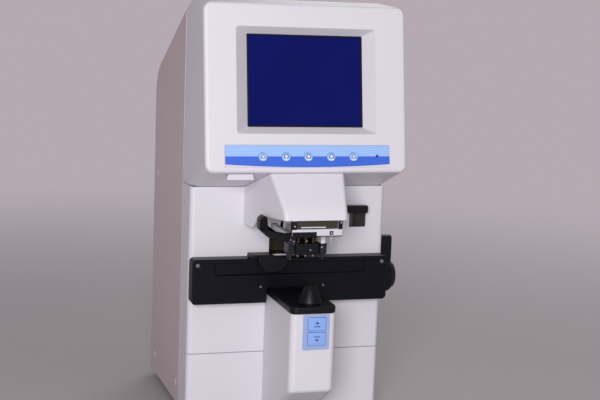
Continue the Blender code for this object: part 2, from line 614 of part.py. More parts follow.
# ---------------------------------------------------------------- lens table
def table(dark, steel, brass):
    front, back = -TABLE_DEPTH, -GAP
    corners = rectangle(-HALF_WIDTH, HALF_WIDTH, TABLE_BOTTOM, TABLE_TOP)
    outline = fillet(corners, {i: TABLE_END_RADIUS for i in range(4)}, 3)
    bar = prism("table_bar", outline, "Y", front, back, dark)
    notch = rectangle(-NOTCH_HALF, NOTCH_HALF, TABLE_BOTTOM - 0.01, NOTCH_TOP)
    groove = rectangle(*GROOVE)
    cut(bar, prism("cut_notch", notch, "Y", front - 0.01, 0.01),
        prism("cut_groove", groove, "Y", front - 0.01, front + GROOVE_DEPTH))

    for side, x in (("left", -ROD_X), ("right", ROD_X)):
        rod(f"guide_rod_{side}", (x, 0, ROD_Z), (x, ROD_REAR, ROD_Z), ROD_RADIUS, steel)
        profile = [(ROD_RADIUS + 0.0004, 0), (0.0090, 0), (0.0090, 0.0050), (0.0060, 0.0050),
                   (0.0060, 0.0160), (ROD_RADIUS + 0.0004, 0.0160), (ROD_RADIUS + 0.0004, 0)]
        turned(f"rod_bushing_{side}", profile, (x, FRAME_FRONT - 0.0053, ROD_Z), Y, brass)


def pd_slider(dark):
    """Bridge rest that runs along the table: a block on top and a half disc hanging in front."""
    front, back = -0.0205, -TABLE_DEPTH - GAP
    top = TABLE_TOP + 0.0020
    pivot = (SLIDER_X, front, TABLE_TOP)
    outline = arc((SLIDER_X, top), SLIDER_RADIUS, 180, 360, 14)
    slider = prism("pd_slider", outline, "Y", front, back, dark, pivot)
    rider = block("add_rider", (-0.0430, -0.0200), (front, -0.0040), (TABLE_TOP + GAP, 0.1738))
    tongue = block("add_tongue", (SLIDER_X - 0.006, SLIDER_X + 0.006), (back - 0.001, back + 0.0022),
                   (0.1565, 0.1625))
    add(slider, rider, tongue)


def pinion_outline():
    tip, root = PINION_RADIUS + 0.0012, PINION_RADIUS - 0.0015
    pitch = 2 * math.pi / PINION_TEETH
    root_half, tip_half = math.radians(4.6), math.radians(2.0)
    points = []
    for tooth in range(PINION_TEETH):
        centre = math.pi / 2 + tooth * pitch
        for radius, offset in ((root, -root_half), (tip, -tip_half), (tip, tip_half), (root, root_half)):
            points.append((LEVER_Y + radius * math.cos(centre + offset),
                           LEVER_Z + radius * math.sin(centre + offset)))
    return points


def rack_outline():
    """Rack above the pinion, one gap straight over the pinion's top tooth."""
    pitch = math.pi * GEAR_MODULE
    line = LEVER_Z + PINION_RADIUS
    tip, root, top = line - 0.0012, line + 0.0015, line + 0.0070
    tip_half, root_half = 0.00047, 0.00145
    points = [(GAP, top), (GAP, root)]
    first, last = -1, 6
    for tooth in range(first, last + 1):
        centre = LEVER_Y + (tooth + 0.5) * pitch
        points += [(centre - root_half, root), (centre - tip_half, tip),
                   (centre + tip_half, tip), (centre + root_half, root)]
    points += [(0.0560, root), (0.0560, top)]
    return points


def table_drive(dark, steel):
    pivot = (HALF_WIDTH, LEVER_Y, LEVER_Z)
    hub_inner = HALF_WIDTH + 0.0012
    radius = LEVER_HUB_RADIUS
    profile = [(radius, 0), (radius, 0.0130), (radius - 0.0045, LEVER_OUTER - hub_inner)]
    lever = turned("table_lever", profile, (hub_inner, LEVER_Y, LEVER_Z), X, dark, pivot, 28)
    arm = fillet(rectangle(LEVER_Y - 0.006, LEVER_Y + 0.006, LEVER_Z, LEVER_TOP), {2: 0.004, 3: 0.004}, 3)
    add(lever, prism("add_arm", arm, "X", hub_inner + 0.0004, LEVER_ARM_OUTER))
    cut(lever, rod("cut_hub", (hub_inner - 0.001, LEVER_Y, LEVER_Z), (hub_inner + 0.011, LEVER_Y, LEVER_Z),
                   SHAFT_RADIUS + GAP))

    shaft = prism("pinion_shaft", pinion_outline(), "X", *PINION_X, steel, pivot)
    add(shaft, rod("add_shaft", (0.0655, LEVER_Y, LEVER_Z), (hub_inner + 0.010, LEVER_Y, LEVER_Z),
                   SHAFT_RADIUS))
    prism("table_rack", rack_outline(), "X", PINION_X[0] + 0.0005, PINION_X[1] - 0.0005, steel)


# ---------------------------------------------------------------- marking unit
def marking_unit(dark, copper, steel):
    low, high = MARKER_LOW, MARKER_HIGH
    plate, block_top = 0.0035, MARKER_LOW + 0.0110
    outline = [(MARKER_FRONT, low), (MARKER_REAR, low), (MARKER_REAR, high), (MARKER_FRONT, high),
               (MARKER_FRONT, high - plate), (MARKER_REAR - plate, high - plate),
               (MARKER_REAR - plate, block_top), (MARKER_FRONT, block_top)]
    pivot = (0, MARKER_PIN_Y, MARKER_LOW)
    body = prism("marker_block", outline, "X", -MARKER_HALF, MARKER_HALF, dark, pivot)
    arm = block("add_arm", (-0.004, 0.004), (MARKER_REAR - 0.001, 0.001), (0.1965, 0.2015))
    carriage = block("add_carriage", (-0.006, 0.006), (-0.001, 0.009), (0.1955, 0.2065))
    add(body, arm, carriage)
    reach = 0.03
    tools = [rod("cut_guide", (0, CARRIAGE_Y - reach, CARRIAGE_Z - reach),
                 (0, CARRIAGE_Y + reach, CARRIAGE_Z + reach), 0.0024, sides=12)]
    for i, x in enumerate(MARKER_PIN_X):
        tools.append(rod(f"cut_pin_{i}", (x, MARKER_PIN_Y, low - 0.01),
                         (x, MARKER_PIN_Y, block_top + 0.002), 0.0014, sides=10))
    cut(body, *tools)
    for i, x in enumerate(MARKER_PIN_X):
        tip, base, top = low - 0.0030, block_top + GAP, high - plate - GAP
        profile = [(0.0006, tip), (0.0009, tip + 0.0015), (0.0009, base), (0.0024, base), (0.0024, top)]
        turned(f"marking_pin_{i + 1}", profile, (x, MARKER_PIN_Y, 0), Z, copper, pivot, 12)
    rod("marker_guide_rod", (0, CARRIAGE_Y - 0.0225, CARRIAGE_Z - 0.0225),
        (0, CARRIAGE_Y + 0.0172, CARRIAGE_Z + 0.0172), 0.0020, steel, sides=12)

    left, right, front = -0.0225, 0.0262, -0.0860
    thick, leg = 0.0016, 0.0040
    bar_low, bar_high, legs_top = 0.2035, 0.2105, 0.2182
    frame = [(left, bar_low), (right, bar_low), (right, legs_top), (right - leg, legs_top),
             (right - leg, bar_high), (left + leg, bar_high), (left + leg, legs_top),
             (left, legs_top)]
    prism("marking_bracket", frame, "Y", front, front + thick, steel)

    pivot = (0.0722, MARK_LEVER_Y, MARK_LEVER_Z)
    lever = block("marking_lever", MARK_LEVER_X, (-0.0105, -0.0035), (0.2122, 0.2195), dark, pivot)
    shank = block("add_shank", (0.0680, 0.0765), (-0.0045, MARK_LEVER_Y), (0.2125, 0.2165))
    hub = rod("add_hub", (0.0660, MARK_LEVER_Y, MARK_LEVER_Z), (0.0785, MARK_LEVER_Y, MARK_LEVER_Z), 0.005)
    add(lever, shank, hub)
    cut(lever, rod("cut_hub", (0.06, MARK_LEVER_Y, MARK_LEVER_Z), (0.09, MARK_LEVER_Y, MARK_LEVER_Z),
                   0.0018, sides=12))

    low_y, wall_y, high_y = MARK_LEVER_Y - 0.006, 0.0545, FRAME_FRONT - GAP
    outline = [(0.0620, low_y), (0.0645, low_y), (0.0645, wall_y), (0.0800, wall_y), (0.0800, low_y),
               (0.0825, low_y), (0.0825, high_y), (0.0620, high_y)]
    bracket = prism("lever_bracket", outline, "Z", 0.2040, 0.2210, steel)
    pin = rod("add_pin", (0.0632, MARK_LEVER_Y, MARK_LEVER_Z), (0.0812, MARK_LEVER_Y, MARK_LEVER_Z),
              0.0014, sides=12)
    add(bracket, pin)


# ---------------------------------------------------------------- lens presser
def both_sides(limits, side):
    """A pair of limits along X, or its mirror image when side is -1."""
    return tuple(sorted(side * limit for limit in limits))


def lens_presser(plastic, dark, steel, rubber):
    pivot = (0, PRESSER_ROD_Y, PRESSER_LOW)
    inner, outer = PRESSER_INNER, PRESSER_OUTER
    outline = [(-outer, PRESSER_FRONT), (-inner, PRESSER_FRONT), (-inner, BRIDGE_FRONT),
               (inner, BRIDGE_FRONT), (inner, PRESSER_FRONT), (outer, PRESSER_FRONT),
               (outer, PRESSER_REAR), (-outer, PRESSER_REAR)]
    fork = prism("presser_frame", outline, "Z", PRESSER_LOW, PRESSER_HIGH, plastic, pivot)
    add(fork, *[block(f"add_pad_{side}", both_sides(PAD_X, side), PAD_Y, (PAD_LOW, PRESSER_LOW + 0.0001))
                for side in (-1, 1)])
    cut(fork, rod("cut_bore", (PRESSER_ROD_X, PRESSER_ROD_Y, 0.18), (PRESSER_ROD_X, PRESSER_ROD_Y, 0.22),
                  PRESSER_ROD_RADIUS + GAP, sides=12))

    for name, side in (("presser_tip_left", -1), ("presser_tip_right", 1)):
        strip = block(name, both_sides(TIP_X, side), TIP_Y, TIP_Z, rubber, pivot)
        x, middle = side * sum(TIP_X) / 2, sum(TIP_Z) / 2
        add(strip, *[rod(f"add_tip_{i}", (x, y, TIP_END), (x, y, middle), 0.0012, sides=10)
                     for i, y in enumerate(TIP_PINS_Y)])

    rod("presser_rod", (PRESSER_ROD_X, PRESSER_ROD_Y, 0.1686), (PRESSER_ROD_X, PRESSER_ROD_Y, 0.2204),
        PRESSER_ROD_RADIUS, steel, sides=12)

    handle = [(-0.0173, 0.1935), (-0.0173, 0.2005), (-0.0280, 0.2025), (-0.0385, 0.2100),
              (-0.0390, 0.2175), (-0.0422, 0.2195), (-0.0465, 0.2160), (-0.0463, 0.2060),
              (-0.0370, 0.1980)]
    prism("presser_handle", handle, "Y", -0.0595, -0.0485, dark, pivot)

    liner = block("recess_liner", (-0.0225, 0.0225), (SHELL + GAP, LINER_REAR), (0.1665, 0.2225), dark)
    cut(liner, block("cut_liner", (-0.0205, 0.0205), (-0.01, LINER_REAR - 0.0018), (0.1683, 0.2207)))


# ---------------------------------------------------------------- inside
def inside(metal, board, dark, plate):
    wall = block("optical_frame", (-0.088, 0.088), (FRAME_FRONT, FRAME_REAR), (0.0116, 0.3000), metal)
    lower = block("add_lower", (-0.012, 0.012), (-0.0880, FRAME_FRONT + 0.001), (0.0765, 0.0827))
    upper = block("add_upper", (-0.014, 0.014), (-0.0800, FRAME_FRONT + 0.001), (0.2245, 0.2285))
    add(wall, lower, upper)
    tools = [rod(f"cut_bush_{i}", (x, 0.05, ROD_Z), (x, 0.08, ROD_Z), 0.0063)
             for i, x in enumerate((-ROD_X, ROD_X))]
    tools.append(rod("cut_light", (0, AXIS_Y, 0.21), (0, AXIS_Y, 0.24), 0.0050))
    cut(wall, *tools)
    block("main_board", (-0.075, 0.075), (0.0700, 0.0716), (0.180, 0.290), board)
    block("power_supply", (-0.085, -0.010), (0.120, 0.165), (0.0116, 0.0700), plate)

    body = block("power_inlet", (INLET_X - 0.0140, INLET_X + 0.0140), (0.1600, REAR - 0.0004),
                 (INLET_Z - 0.0100, INLET_Z + 0.0100), dark)
    cut(body, block("cut_socket", (INLET_X - 0.0120, INLET_X + 0.0120), (0.1720, REAR + 0.01),
                    (INLET_Z - 0.0080, INLET_Z + 0.0080)))
    add(body, *[block(f"add_blade_{i}", (INLET_X + dx - 0.001, INLET_X + dx + 0.001), (0.1700, 0.1840),
                      (INLET_Z + dz - 0.002, INLET_Z + dz + 0.002))
                for i, (dx, dz) in enumerate(((-0.007, -0.002), (0.007, -0.002), (0.0, 0.002)))])


def power_switch(dark):
    """Rocker in the back of the cover; it tips about a cross axis just inside the wall."""
    pivot = (ROCKER_X, REAR - 0.0075, ROCKER_Z)
    half = 0.0085
    outline = [(REAR - 0.0110, ROCKER_Z - half), (REAR - 0.0042, ROCKER_Z - half),
               (REAR - 0.0030, ROCKER_Z), (REAR - 0.0006, ROCKER_Z + half),
               (REAR - 0.0110, ROCKER_Z + half)]
    prism("power_rocker", outline, "X", ROCKER_X - 0.0058, ROCKER_X + 0.0058, dark, pivot)


# ---------------------------------------------------------------- assembly
def build():
    for old in list(bpy.data.objects):
        bpy.data.objects.remove(old)

    shell = material("shell_plastic", (0.74, 0.70, 0.76), 0.45)
    paint = material("cover_paint", (0.56, 0.53, 0.55), 0.40)
    black = material("black_plastic", (0.010, 0.010, 0.014), 0.38)
    rubber = material("black_rubber", (0.012, 0.012, 0.012), 0.80)
    steel = material("bright_steel", (0.62, 0.62, 0.64), 0.25, 1.0)
    alloy = material("cast_alloy", (0.40, 0.41, 0.42), 0.50, 1.0)
    brass = material("brass", (0.60, 0.42, 0.15), 0.30, 1.0)
    copper = material("copper", (0.50, 0.22, 0.12), 0.35, 1.0)
    screen = material("screen_glass", (0.004, 0.007, 0.090), 0.08)
    lens = material("lens_glass", (0.30, 0.34, 0.36), 0.03)
    film = material("label_film", (0.30, 0.50, 0.85), 0.35)
    key = material("key_plastic", (0.55, 0.70, 0.92), 0.35)
    board = material("circuit_board", (0.02, 0.12, 0.05), 0.50)
    tin = material("tinplate", (0.45, 0.45, 0.46), 0.35, 1.0)

    base(alloy, rubber)
    rear_cover(paint)
    front_mouldings(shell)
    head(shell)
    display(screen, tin)
    label_strip(film)
    menu_keys(key)
    contrast_knob(shell)
    upper_nose(shell, black, steel, lens, board)
    lower_nose(shell, black, film, board, lens)
    lower_keys(key)
    table(black, steel, brass)
    pd_slider(black)
    table_drive(black, steel)
    marking_unit(black, copper, steel)
    lens_presser(shell, black, steel, rubber)
    inside(alloy, board, black, tin)
    power_switch(black)

    origin = bpy.data.objects.new("lensmeter_origin", None)
    origin.location = (-(LEVER_OUTER - HALF_WIDTH) / 2, -(REAR + KEY_FRONT) / 2, 0)
    bpy.context.collection.objects.link(origin)
    for part in list(bpy.data.objects):
        if part.type == "MESH":
            part.parent = origin


build()
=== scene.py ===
"""Looks of the automatic lensmeter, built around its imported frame.

Shapes are written in the housing frame: X = 0 is the plane of symmetry, Y = 0 is the flat front
face and Z = 0 is the desk. HOME moves them into the row frame.
"""

import math

import bmesh
import bpy
from mathutils import Matrix, Vector
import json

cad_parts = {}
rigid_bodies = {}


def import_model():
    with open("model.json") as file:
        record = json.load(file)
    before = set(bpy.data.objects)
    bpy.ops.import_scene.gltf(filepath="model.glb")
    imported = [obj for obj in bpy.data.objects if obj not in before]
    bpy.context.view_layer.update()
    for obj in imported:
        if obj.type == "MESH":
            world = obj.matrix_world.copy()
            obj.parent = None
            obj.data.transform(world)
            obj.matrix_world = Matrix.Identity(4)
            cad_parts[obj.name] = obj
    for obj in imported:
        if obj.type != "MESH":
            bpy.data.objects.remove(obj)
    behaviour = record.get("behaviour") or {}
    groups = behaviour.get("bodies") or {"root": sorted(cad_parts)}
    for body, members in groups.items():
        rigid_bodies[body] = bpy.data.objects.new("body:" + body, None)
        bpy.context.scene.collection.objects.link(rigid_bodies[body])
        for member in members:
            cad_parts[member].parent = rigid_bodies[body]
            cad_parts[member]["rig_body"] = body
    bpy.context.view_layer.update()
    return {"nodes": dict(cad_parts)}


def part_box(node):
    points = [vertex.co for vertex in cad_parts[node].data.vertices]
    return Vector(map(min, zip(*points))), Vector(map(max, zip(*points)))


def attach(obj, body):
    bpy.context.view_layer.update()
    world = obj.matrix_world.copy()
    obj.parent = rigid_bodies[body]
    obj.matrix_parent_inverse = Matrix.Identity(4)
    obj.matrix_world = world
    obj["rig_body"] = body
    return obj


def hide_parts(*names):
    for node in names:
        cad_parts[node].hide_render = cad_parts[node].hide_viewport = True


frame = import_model()

X, Z = Vector((1, 0, 0)), Vector((0, 0, 1))
TO_FRONT = (0, -1, 0)
panel_low, panel_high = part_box("front_moulding")
HOME = Vector(((panel_low.x + panel_high.x) / 2, panel_low.y, 0))


def span(node):
    """Lowest and highest corner of a CAD node in the housing frame."""
    low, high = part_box(node)
    return low - HOME, high - HOME


def middle(node):
    low, high = span(node)
    return (low + high) / 2


# ---------------- sizes taken from the frame
COVER_LOW, COVER_HIGH = span("rear_cover")
MOULD_LOW, MOULD_HIGH = span("front_moulding")
HEAD_LOW, HEAD_HIGH = span("head_bezel")
NOSE_LOW = span("upper_nose_housing")[0]
LOWER_LOW, LOWER_HIGH = span("lower_nose_housing")
TABLE_LOW, TABLE_HIGH = span("table_bar")
HALF_WIDTH = COVER_HIGH.x
SEAM, REAR = COVER_LOW.y, COVER_HIGH.y
AXIS_Y = middle("nosepiece").y
LEVER_AXIS = middle("pinion_shaft")
GUIDE_ROD = middle("guide_rod_right")

# ---------------- sizes shared by several pieces
GAP = 0.0003                       # clearance between neighbouring pieces
OVER = 0.01                        # reach of a cutting tool past what it cuts
THROUGH = (-0.02, 0.02)            # reach along Y of a cut through the front panel
WALL, SHELL = 0.0015, 0.0025       # walls of the metal cover and of the plastic mouldings
COVER_TOP, COVER_SLOPE = 0.4143, 0.491
COVER_EDGE, COVER_BEND = 0.008, 0.040
COVER_SCREWS = ((0.0480, 0.0300), (0.1600, 0.0300), (0.1600, 0.2300))
PANEL_SCREW = (0.0305, 0.2194)
VENTS, VENT_LOW, VENT_PITCH, VENT_HEIGHT, VENT_HALF = 7, 0.215, 0.010, 0.0035, 0.045
FRONT_EDGE = 0.005
HEAD_CORNER, FACE_EDGE = 0.008, 0.0035
FACE_BOTTOM = Vector((0, HEAD_LOW.y, 0.2600))
FACE_TOP = Vector((0, -0.0327, 0.4158))
FACE_RISE = (FACE_TOP - FACE_BOTTOM).normalized()
FACE_INWARD = Vector((0, FACE_RISE.z, -FACE_RISE.y))
SCREEN = (-0.0569, 0.0569, 0.0432, 0.1302)           # across from, to, up the face from, to
SCREEN_DEPTH = 0.0074
BEVEL = (-0.0690, 0.0690, 0.0368, 0.1355)
LABEL = (-0.0805, 0.0815, 0.0050, 0.0254)
LABEL_SAG = 0.0027
LABEL_THICKNESS = 0.0005
BAND_EDGE = 0.0151
KEY_PLACES = (-0.0445, -0.0220, 0.0, 0.0225, 0.0450)
KEY_UP, KEY_RADIUS, KEY_PROUD = 0.0144, 0.0040, 0.0010
KEY_ROOM = 0.0004                  # clearance around every key
DUCT_HALF = 0.016                  # half width of the light path's openings


# ---------------- outlines
def fillet(points, radii, steps=6):
    """Round the corners of a closed outline: radii is one number, or corner index to radius."""
    rounded = []
    for i, point in enumerate(points):
        corner = Vector(point)
        radius = radii.get(i, 0.0) if isinstance(radii, dict) else radii
        if radius <= 0:
            rounded.append(tuple(corner))
            continue
        before = (Vector(points[i - 1]) - corner).normalized()
        after = (Vector(points[(i + 1) % len(points)]) - corner).normalized()
        half_angle = math.acos(max(-1.0, min(1.0, before.dot(after)))) / 2
        centre = corner + (before + after).normalized() * radius / math.sin(half_angle)
        start = corner + before * radius / math.tan(half_angle) - centre
        end = corner + after * radius / math.tan(half_angle) - centre
        turn = math.atan2(start.x * end.y - start.y * end.x, start.dot(end))
        for step in range(steps + 1):
            angle = turn * step / steps
            cos, sin = math.cos(angle), math.sin(angle)
            rounded.append((centre.x + start.x * cos - start.y * sin,
                            centre.y + start.x * sin + start.y * cos))
    return rounded


def inset(points, amounts):
    """Move each edge of a counter-clockwise outline inwards; edge i runs from point i to i + 1."""
    count = len(points)
    edges = []
    for i in range(count):
        start, end = Vector(points[i]), Vector(points[(i + 1) % count])
        along = (end - start).normalized()
        edges.append((start + Vector((-along.y, along.x)) * amounts[i], along))
    moved = []
    for i in range(count):
        (p, a), (q, b) = edges[i - 1], edges[i]
        reach = ((q - p).x * b.y - (q - p).y * b.x) / (a.x * b.y - a.y * b.x)
        moved.append(tuple(p + a * reach))
    return moved


def rectangle(low_a, high_a, low_b, high_b):
    return [(low_a, low_b), (high_a, low_b), (high_a, high_b), (low_a, high_b)]


def grown(limits, by):
    """Limits of a rectangle moved outwards on all four sides."""
    low_a, high_a, low_b, high_b = limits
    return (low_a - by, high_a + by, low_b - by, high_b + by)


def arc(centre, radius, start, end, steps):
    angles = [math.radians(start + (end - start) * i / steps) for i in range(steps + 1)]
    return [(centre[0] + radius * math.cos(a), centre[1] + radius * math.sin(a)) for a in angles]


# ---------------- solids, in the housing frame
def make(work):
    bmesh.ops.remove_doubles(work, verts=work.verts, dist=1e-6)
    bmesh.ops.recalc_face_normals(work, faces=work.faces)
    mesh = bpy.data.meshes.new("piece")
    work.to_mesh(mesh)
    work.free()
    made = bpy.data.objects.new("piece", mesh)
    bpy.context.scene.collection.objects.link(made)
    return made


def stack(rings, closed=False):
    """A solid through rings with the same number of points; closed joins the last to the first."""
    work = bmesh.new()
    loops = [[work.verts.new(point) for point in ring] for ring in rings]
    count = len(rings[0])
    pairs = list(zip(loops, loops[1:]))
    if closed:
        pairs.append((loops[-1], loops[0]))
    for low, high in pairs:
        for i in range(count):
            j = (i + 1) % count
            work.faces.new((low[i], low[j], high[j], high[i]))
    if not closed:
        work.faces.new(list(reversed(loops[0])))
        work.faces.new(loops[-1])
    return make(work)


def prism(outline, axis, start, end):
    """An outline pushed along an axis: 'X' takes (Y, Z) points, 'Y' takes (X, Z), 'Z' takes (X, Y)."""
    place = {"X": lambda a, b, t: (t, a, b), "Y": lambda a, b, t: (a, t, b),
             "Z": lambda a, b, t: (a, b, t)}[axis]
    return stack([[place(a, b, t) for a, b in outline] for t in (start, end)])


def block(x, y, z):
    return prism(rectangle(x[0], x[1], y[0], y[1]), "Z", z[0], z[1])


def turned(profile, base, direction, sides=40):
    """A turned piece: profile is (radius, height) pairs, closed if it has a bore."""
    spin = Vector(direction).normalized().to_track_quat("Z", "Y").to_matrix()
    rings = []
    for radius, height in profile:
        angles = [2 * math.pi * i / sides for i in range(sides)]
        rings.append([Vector(base) + spin @ Vector((radius * math.cos(a), radius * math.sin(a), height))
                      for a in angles])
    if profile[0] == profile[-1]:
        return stack(rings[:-1], closed=True)
    return stack(rings)


def rod(start, end, radius, sides=32):
    length = (Vector(end) - Vector(start)).length
    return turned([(radius, 0), (radius, length)], start, Vector(end) - Vector(start), sides)


def on_face(across, up, deep=0.0):
    """A point measured on the screen face: across, up along it, and deep into the head."""
    return FACE_BOTTOM + X * across + FACE_RISE * up + FACE_INWARD * deep


def face_slab(outline, near, far):
    return stack([[on_face(u, v, deep) for u, v in outline] for deep in (near, far)])


def boolean(target, tools, operation):
    for tool in tools:
        step = target.modifiers.new("boolean", "BOOLEAN")
        step.object = tool
        step.operation = operation
        step.solver = "EXACT"
    bpy.context.view_layer.update()
    graph = bpy.context.evaluated_depsgraph_get()
    result = bpy.data.meshes.new_from_object(target.evaluated_get(graph))
    target.modifiers.clear()
    target.data = result
    for tool in tools:
        bpy.data.objects.remove(tool)
    return target


def cut(target, *tools):
    return boolean(target, tools, "DIFFERENCE")


def add(target, *tools):
    return boolean(target, tools, "UNION")


def join(target, *others):
    """Put other pieces into the same mesh, without changing their shapes; each keeps its finish."""
    work = bmesh.new()
    slots = []
    for piece in (target, *others):
        offset = len(slots)
        slots += list(piece.data.materials) or [None]
        before = len(work.faces)
        work.from_mesh(piece.data)
        work.faces.ensure_lookup_table()
        for face in work.faces[before:]:
            face.material_index += offset
    mesh = bpy.data.meshes.new("piece")
    work.to_mesh(mesh)
    work.free()
    for look in slots:
        mesh.materials.append(look)
    target.data = mesh
    for other in others:
        bpy.data.objects.remove(other)
    return target


def round_edges(piece, radius, where, steps=6):
    """Round the edges for which where(middle, direction) holds."""
    work = bmesh.new()
    work.from_mesh(piece.data)
    chosen = []
    for edge in work.edges:
        a, b = edge.verts[0].co, edge.verts[1].co
        if where((a + b) / 2, (b - a).normalized()):
            chosen.append(edge)
    bmesh.ops.bevel(work, geom=chosen, offset=radius, offset_type="OFFSET", segments=steps,
                    profile=0.5, affect="EDGES", clamp_overlap=False)
    work.to_mesh(piece.data)
    work.free()
    return piece


def weld(piece):
    """Merge the doubled points that booleans leave behind."""
    work = bmesh.new()
    work.from_mesh(piece.data)
    bmesh.ops.remove_doubles(work, verts=work.verts, dist=2e-6)
    work.to_mesh(piece.data)
    work.free()


def painted(piece, look):
    """Give a whole piece one finish."""
    piece.data.materials.clear()
    piece.data.materials.append(look)
    return piece


def show(name, piece, look, body="base", edge=0.0, replaces=(), steps=3, limit=32):
    """Give a piece its edges, shading, finish and body, and put it in the row frame."""
    piece.name = piece.data.name = name
    if look and not any(piece.data.materials):
        painted(piece, look)
    piece.data.transform(Matrix.Translation(HOME))
    piece.data.shade_smooth()
    if edge:
        weld(piece)
        bevel = piece.modifiers.new("edges", "BEVEL")
        bevel.width = edge
        bevel.segments = steps
        bevel.limit_method = "ANGLE"
        bevel.angle_limit = math.radians(limit)
        bevel.use_clamp_overlap = False
        bevel.harden_normals = True
        piece.data.set_sharp_from_angle(angle=math.radians(limit))
        weighted = piece.modifiers.new("normals", "WEIGHTED_NORMAL")
        weighted.keep_sharp = True
        piece.data.shade_smooth()
    else:
        piece.data.set_sharp_from_angle(angle=math.radians(limit))
    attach(piece, body)
    if replaces:
        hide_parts(*replaces)
    return piece


def refine(node, look, edge):
    """A clean copy of a CAD node with rounded edges, which stands for it."""
    source = frame["nodes"][node]
    work = bmesh.new()
    work.from_mesh(source.data)
    bmesh.ops.remove_doubles(work, verts=work.verts, dist=1e-6)
    bmesh.ops.translate(work, verts=work.verts, vec=-HOME)
    return show(f"{node}_detail", make(work), look, source["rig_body"], edge, (node,))


# ---------------- finishes
WORN_FROM, WORN_TO, WORN_MOST = 0.53, 0.62, 0.6      # pointiness where wear starts and ends, and its most


def set_inputs(node, **values):
    """Set a shader node's inputs; an underscore stands for a space in an input's name."""
    for socket, value in values.items():
        node.inputs[socket.replace("_", " ")].default_value = value
    return node


def shader_node(nodes, kind, **values):
    return set_inputs(nodes.new(kind), **values)


def finish(name, colour, rough, metallic=0.0, tint=0.04, patch=18.0, grain=900.0, relief=0.00002,
           spread=0.06, stretch=(1, 1, 1), worn=None, **sockets):
    """Principled finish with patchy colour, uneven gloss, fine relief and, if asked, worn edges."""
    made = bpy.data.materials.new(name)
    made.use_nodes = True
    nodes, links = made.node_tree.nodes, made.node_tree.links
    shader = set_inputs(nodes["Principled BSDF"], Metallic=metallic, **sockets)
    place = nodes.new("ShaderNodeTexCoord")
    scale = shader_node(nodes, "ShaderNodeMapping", Scale=stretch)
    links.new(place.outputs["Object"], scale.inputs["Vector"])

    def noise(size, detail):
        made_noise = shader_node(nodes, "ShaderNodeTexNoise", Scale=size, Detail=detail)
        links.new(scale.outputs["Vector"], made_noise.inputs["Vector"])
        return made_noise.outputs["Fac"]

    broad, fine = noise(patch, 4.0), noise(grain, 3.0)
    mix = nodes.new("ShaderNodeMix")
    mix.data_type = "RGBA"
    mix.inputs["A"].default_value = (*[c * (1 - tint) for c in colour], 1)
    mix.inputs["B"].default_value = (*[min(1.0, c * (1 + tint)) for c in colour], 1)
    links.new(broad, mix.inputs["Factor"])
    surface = mix.outputs["Result"]
    if worn:
        geometry = nodes.new("ShaderNodeNewGeometry")
        rub = shader_node(nodes, "ShaderNodeMapRange", From_Min=WORN_FROM, From_Max=WORN_TO,
                          To_Max=WORN_MOST)
        links.new(geometry.outputs["Pointiness"], rub.inputs["Value"])
        patchy = nodes.new("ShaderNodeMath")
        patchy.operation = "MULTIPLY"
        links.new(rub.outputs["Result"], patchy.inputs[0])
        links.new(broad, patchy.inputs[1])
        edge_mix = nodes.new("ShaderNodeMix")
        edge_mix.data_type = "RGBA"
        edge_mix.inputs["B"].default_value = (*worn, 1)
        links.new(patchy.outputs["Value"], edge_mix.inputs["Factor"])
        links.new(surface, edge_mix.inputs["A"])
        surface = edge_mix.outputs["Result"]
    links.new(surface, shader.inputs["Base Color"])
    gloss = shader_node(nodes, "ShaderNodeMapRange", To_Min=max(0.02, rough - spread),
                        To_Max=min(1.0, rough + spread))
    links.new(fine, gloss.inputs["Value"])
    links.new(gloss.outputs["Result"], shader.inputs["Roughness"])
    bump = shader_node(nodes, "ShaderNodeBump", Strength=0.6, Distance=relief)
    links.new(fine, bump.inputs["Height"])
    links.new(bump.outputs["Normal"], shader.inputs["Normal"])
    return made


shell = finish("shell_plastic", (0.70, 0.672, 0.735), 0.44, tint=0.02, grain=1300, relief=0.00003)
# Darker copy of the shell plastic for the screen's sloping bevel: painted shade.
painted_bevel_shade = finish("screen_bevel_painted_shade", (0.56, 0.536, 0.588), 0.46, tint=0.02, grain=1300, relief=0.00003)
paint = finish("cover_paint", (0.60, 0.485, 0.505), 0.42, tint=0.03, grain=700, relief=0.00004,
               worn=(0.78, 0.74, 0.76))
black = finish("satin_black_plastic", (0.004, 0.004, 0.006), 0.42, tint=0.15, grain=1500,
               Specular_IOR_Level=0.25)
zinc = finish("dull_zinc", (0.15, 0.15, 0.17), 0.62, tint=0.1, grain=1500)
black_metal = finish("black_metal", (0.003, 0.003, 0.008), 0.36, tint=0.2, grain=1100,
                     worn=(0.05, 0.05, 0.07), Specular_IOR_Level=0.2)
# Dark brown that stands in for the shade inside the recess and under the nose: painted shade.
umber = finish("brown_painted_shade", (0.030, 0.024, 0.014), 0.50, tint=0.2, grain=1200)
rubber = finish("rubber", (0.014, 0.014, 0.015), 0.82, tint=0.2, patch=60, relief=0.00005)
steel = finish("bright_steel", (0.66, 0.66, 0.69), 0.26, 1.0, grain=2200, stretch=(0.08, 1, 1))
satin = finish("satin_aluminium", (0.80, 0.80, 0.86), 0.45, 0.5, tint=0.02, grain=1500, relief=0.00001)
dark_steel = finish("blackened_steel", (0.09, 0.09, 0.10), 0.42, 1.0, tint=0.1, grain=2200)
alloy = finish("cast_alloy", (0.42, 0.43, 0.45), 0.52, 1.0, tint=0.08, grain=800, relief=0.00008)
brass = finish("brass", (0.70, 0.50, 0.19), 0.28, 1.0, tint=0.08, grain=1800)
copper = finish("copper", (0.17, 0.075, 0.060), 0.40, 1.0, tint=0.15, grain=1800)
tin = finish("tinplate", (0.50, 0.50, 0.52), 0.34, 1.0, tint=0.10, patch=70)
board = finish("circuit_board", (0.016, 0.120, 0.045), 0.42, tint=0.2, patch=120)
chip = finish("chip_plastic", (0.020, 0.020, 0.022), 0.55, tint=0.2)
light_blue = finish("label_light", (0.34, 0.53, 0.93), 0.33, tint=0.03, relief=0.00001)
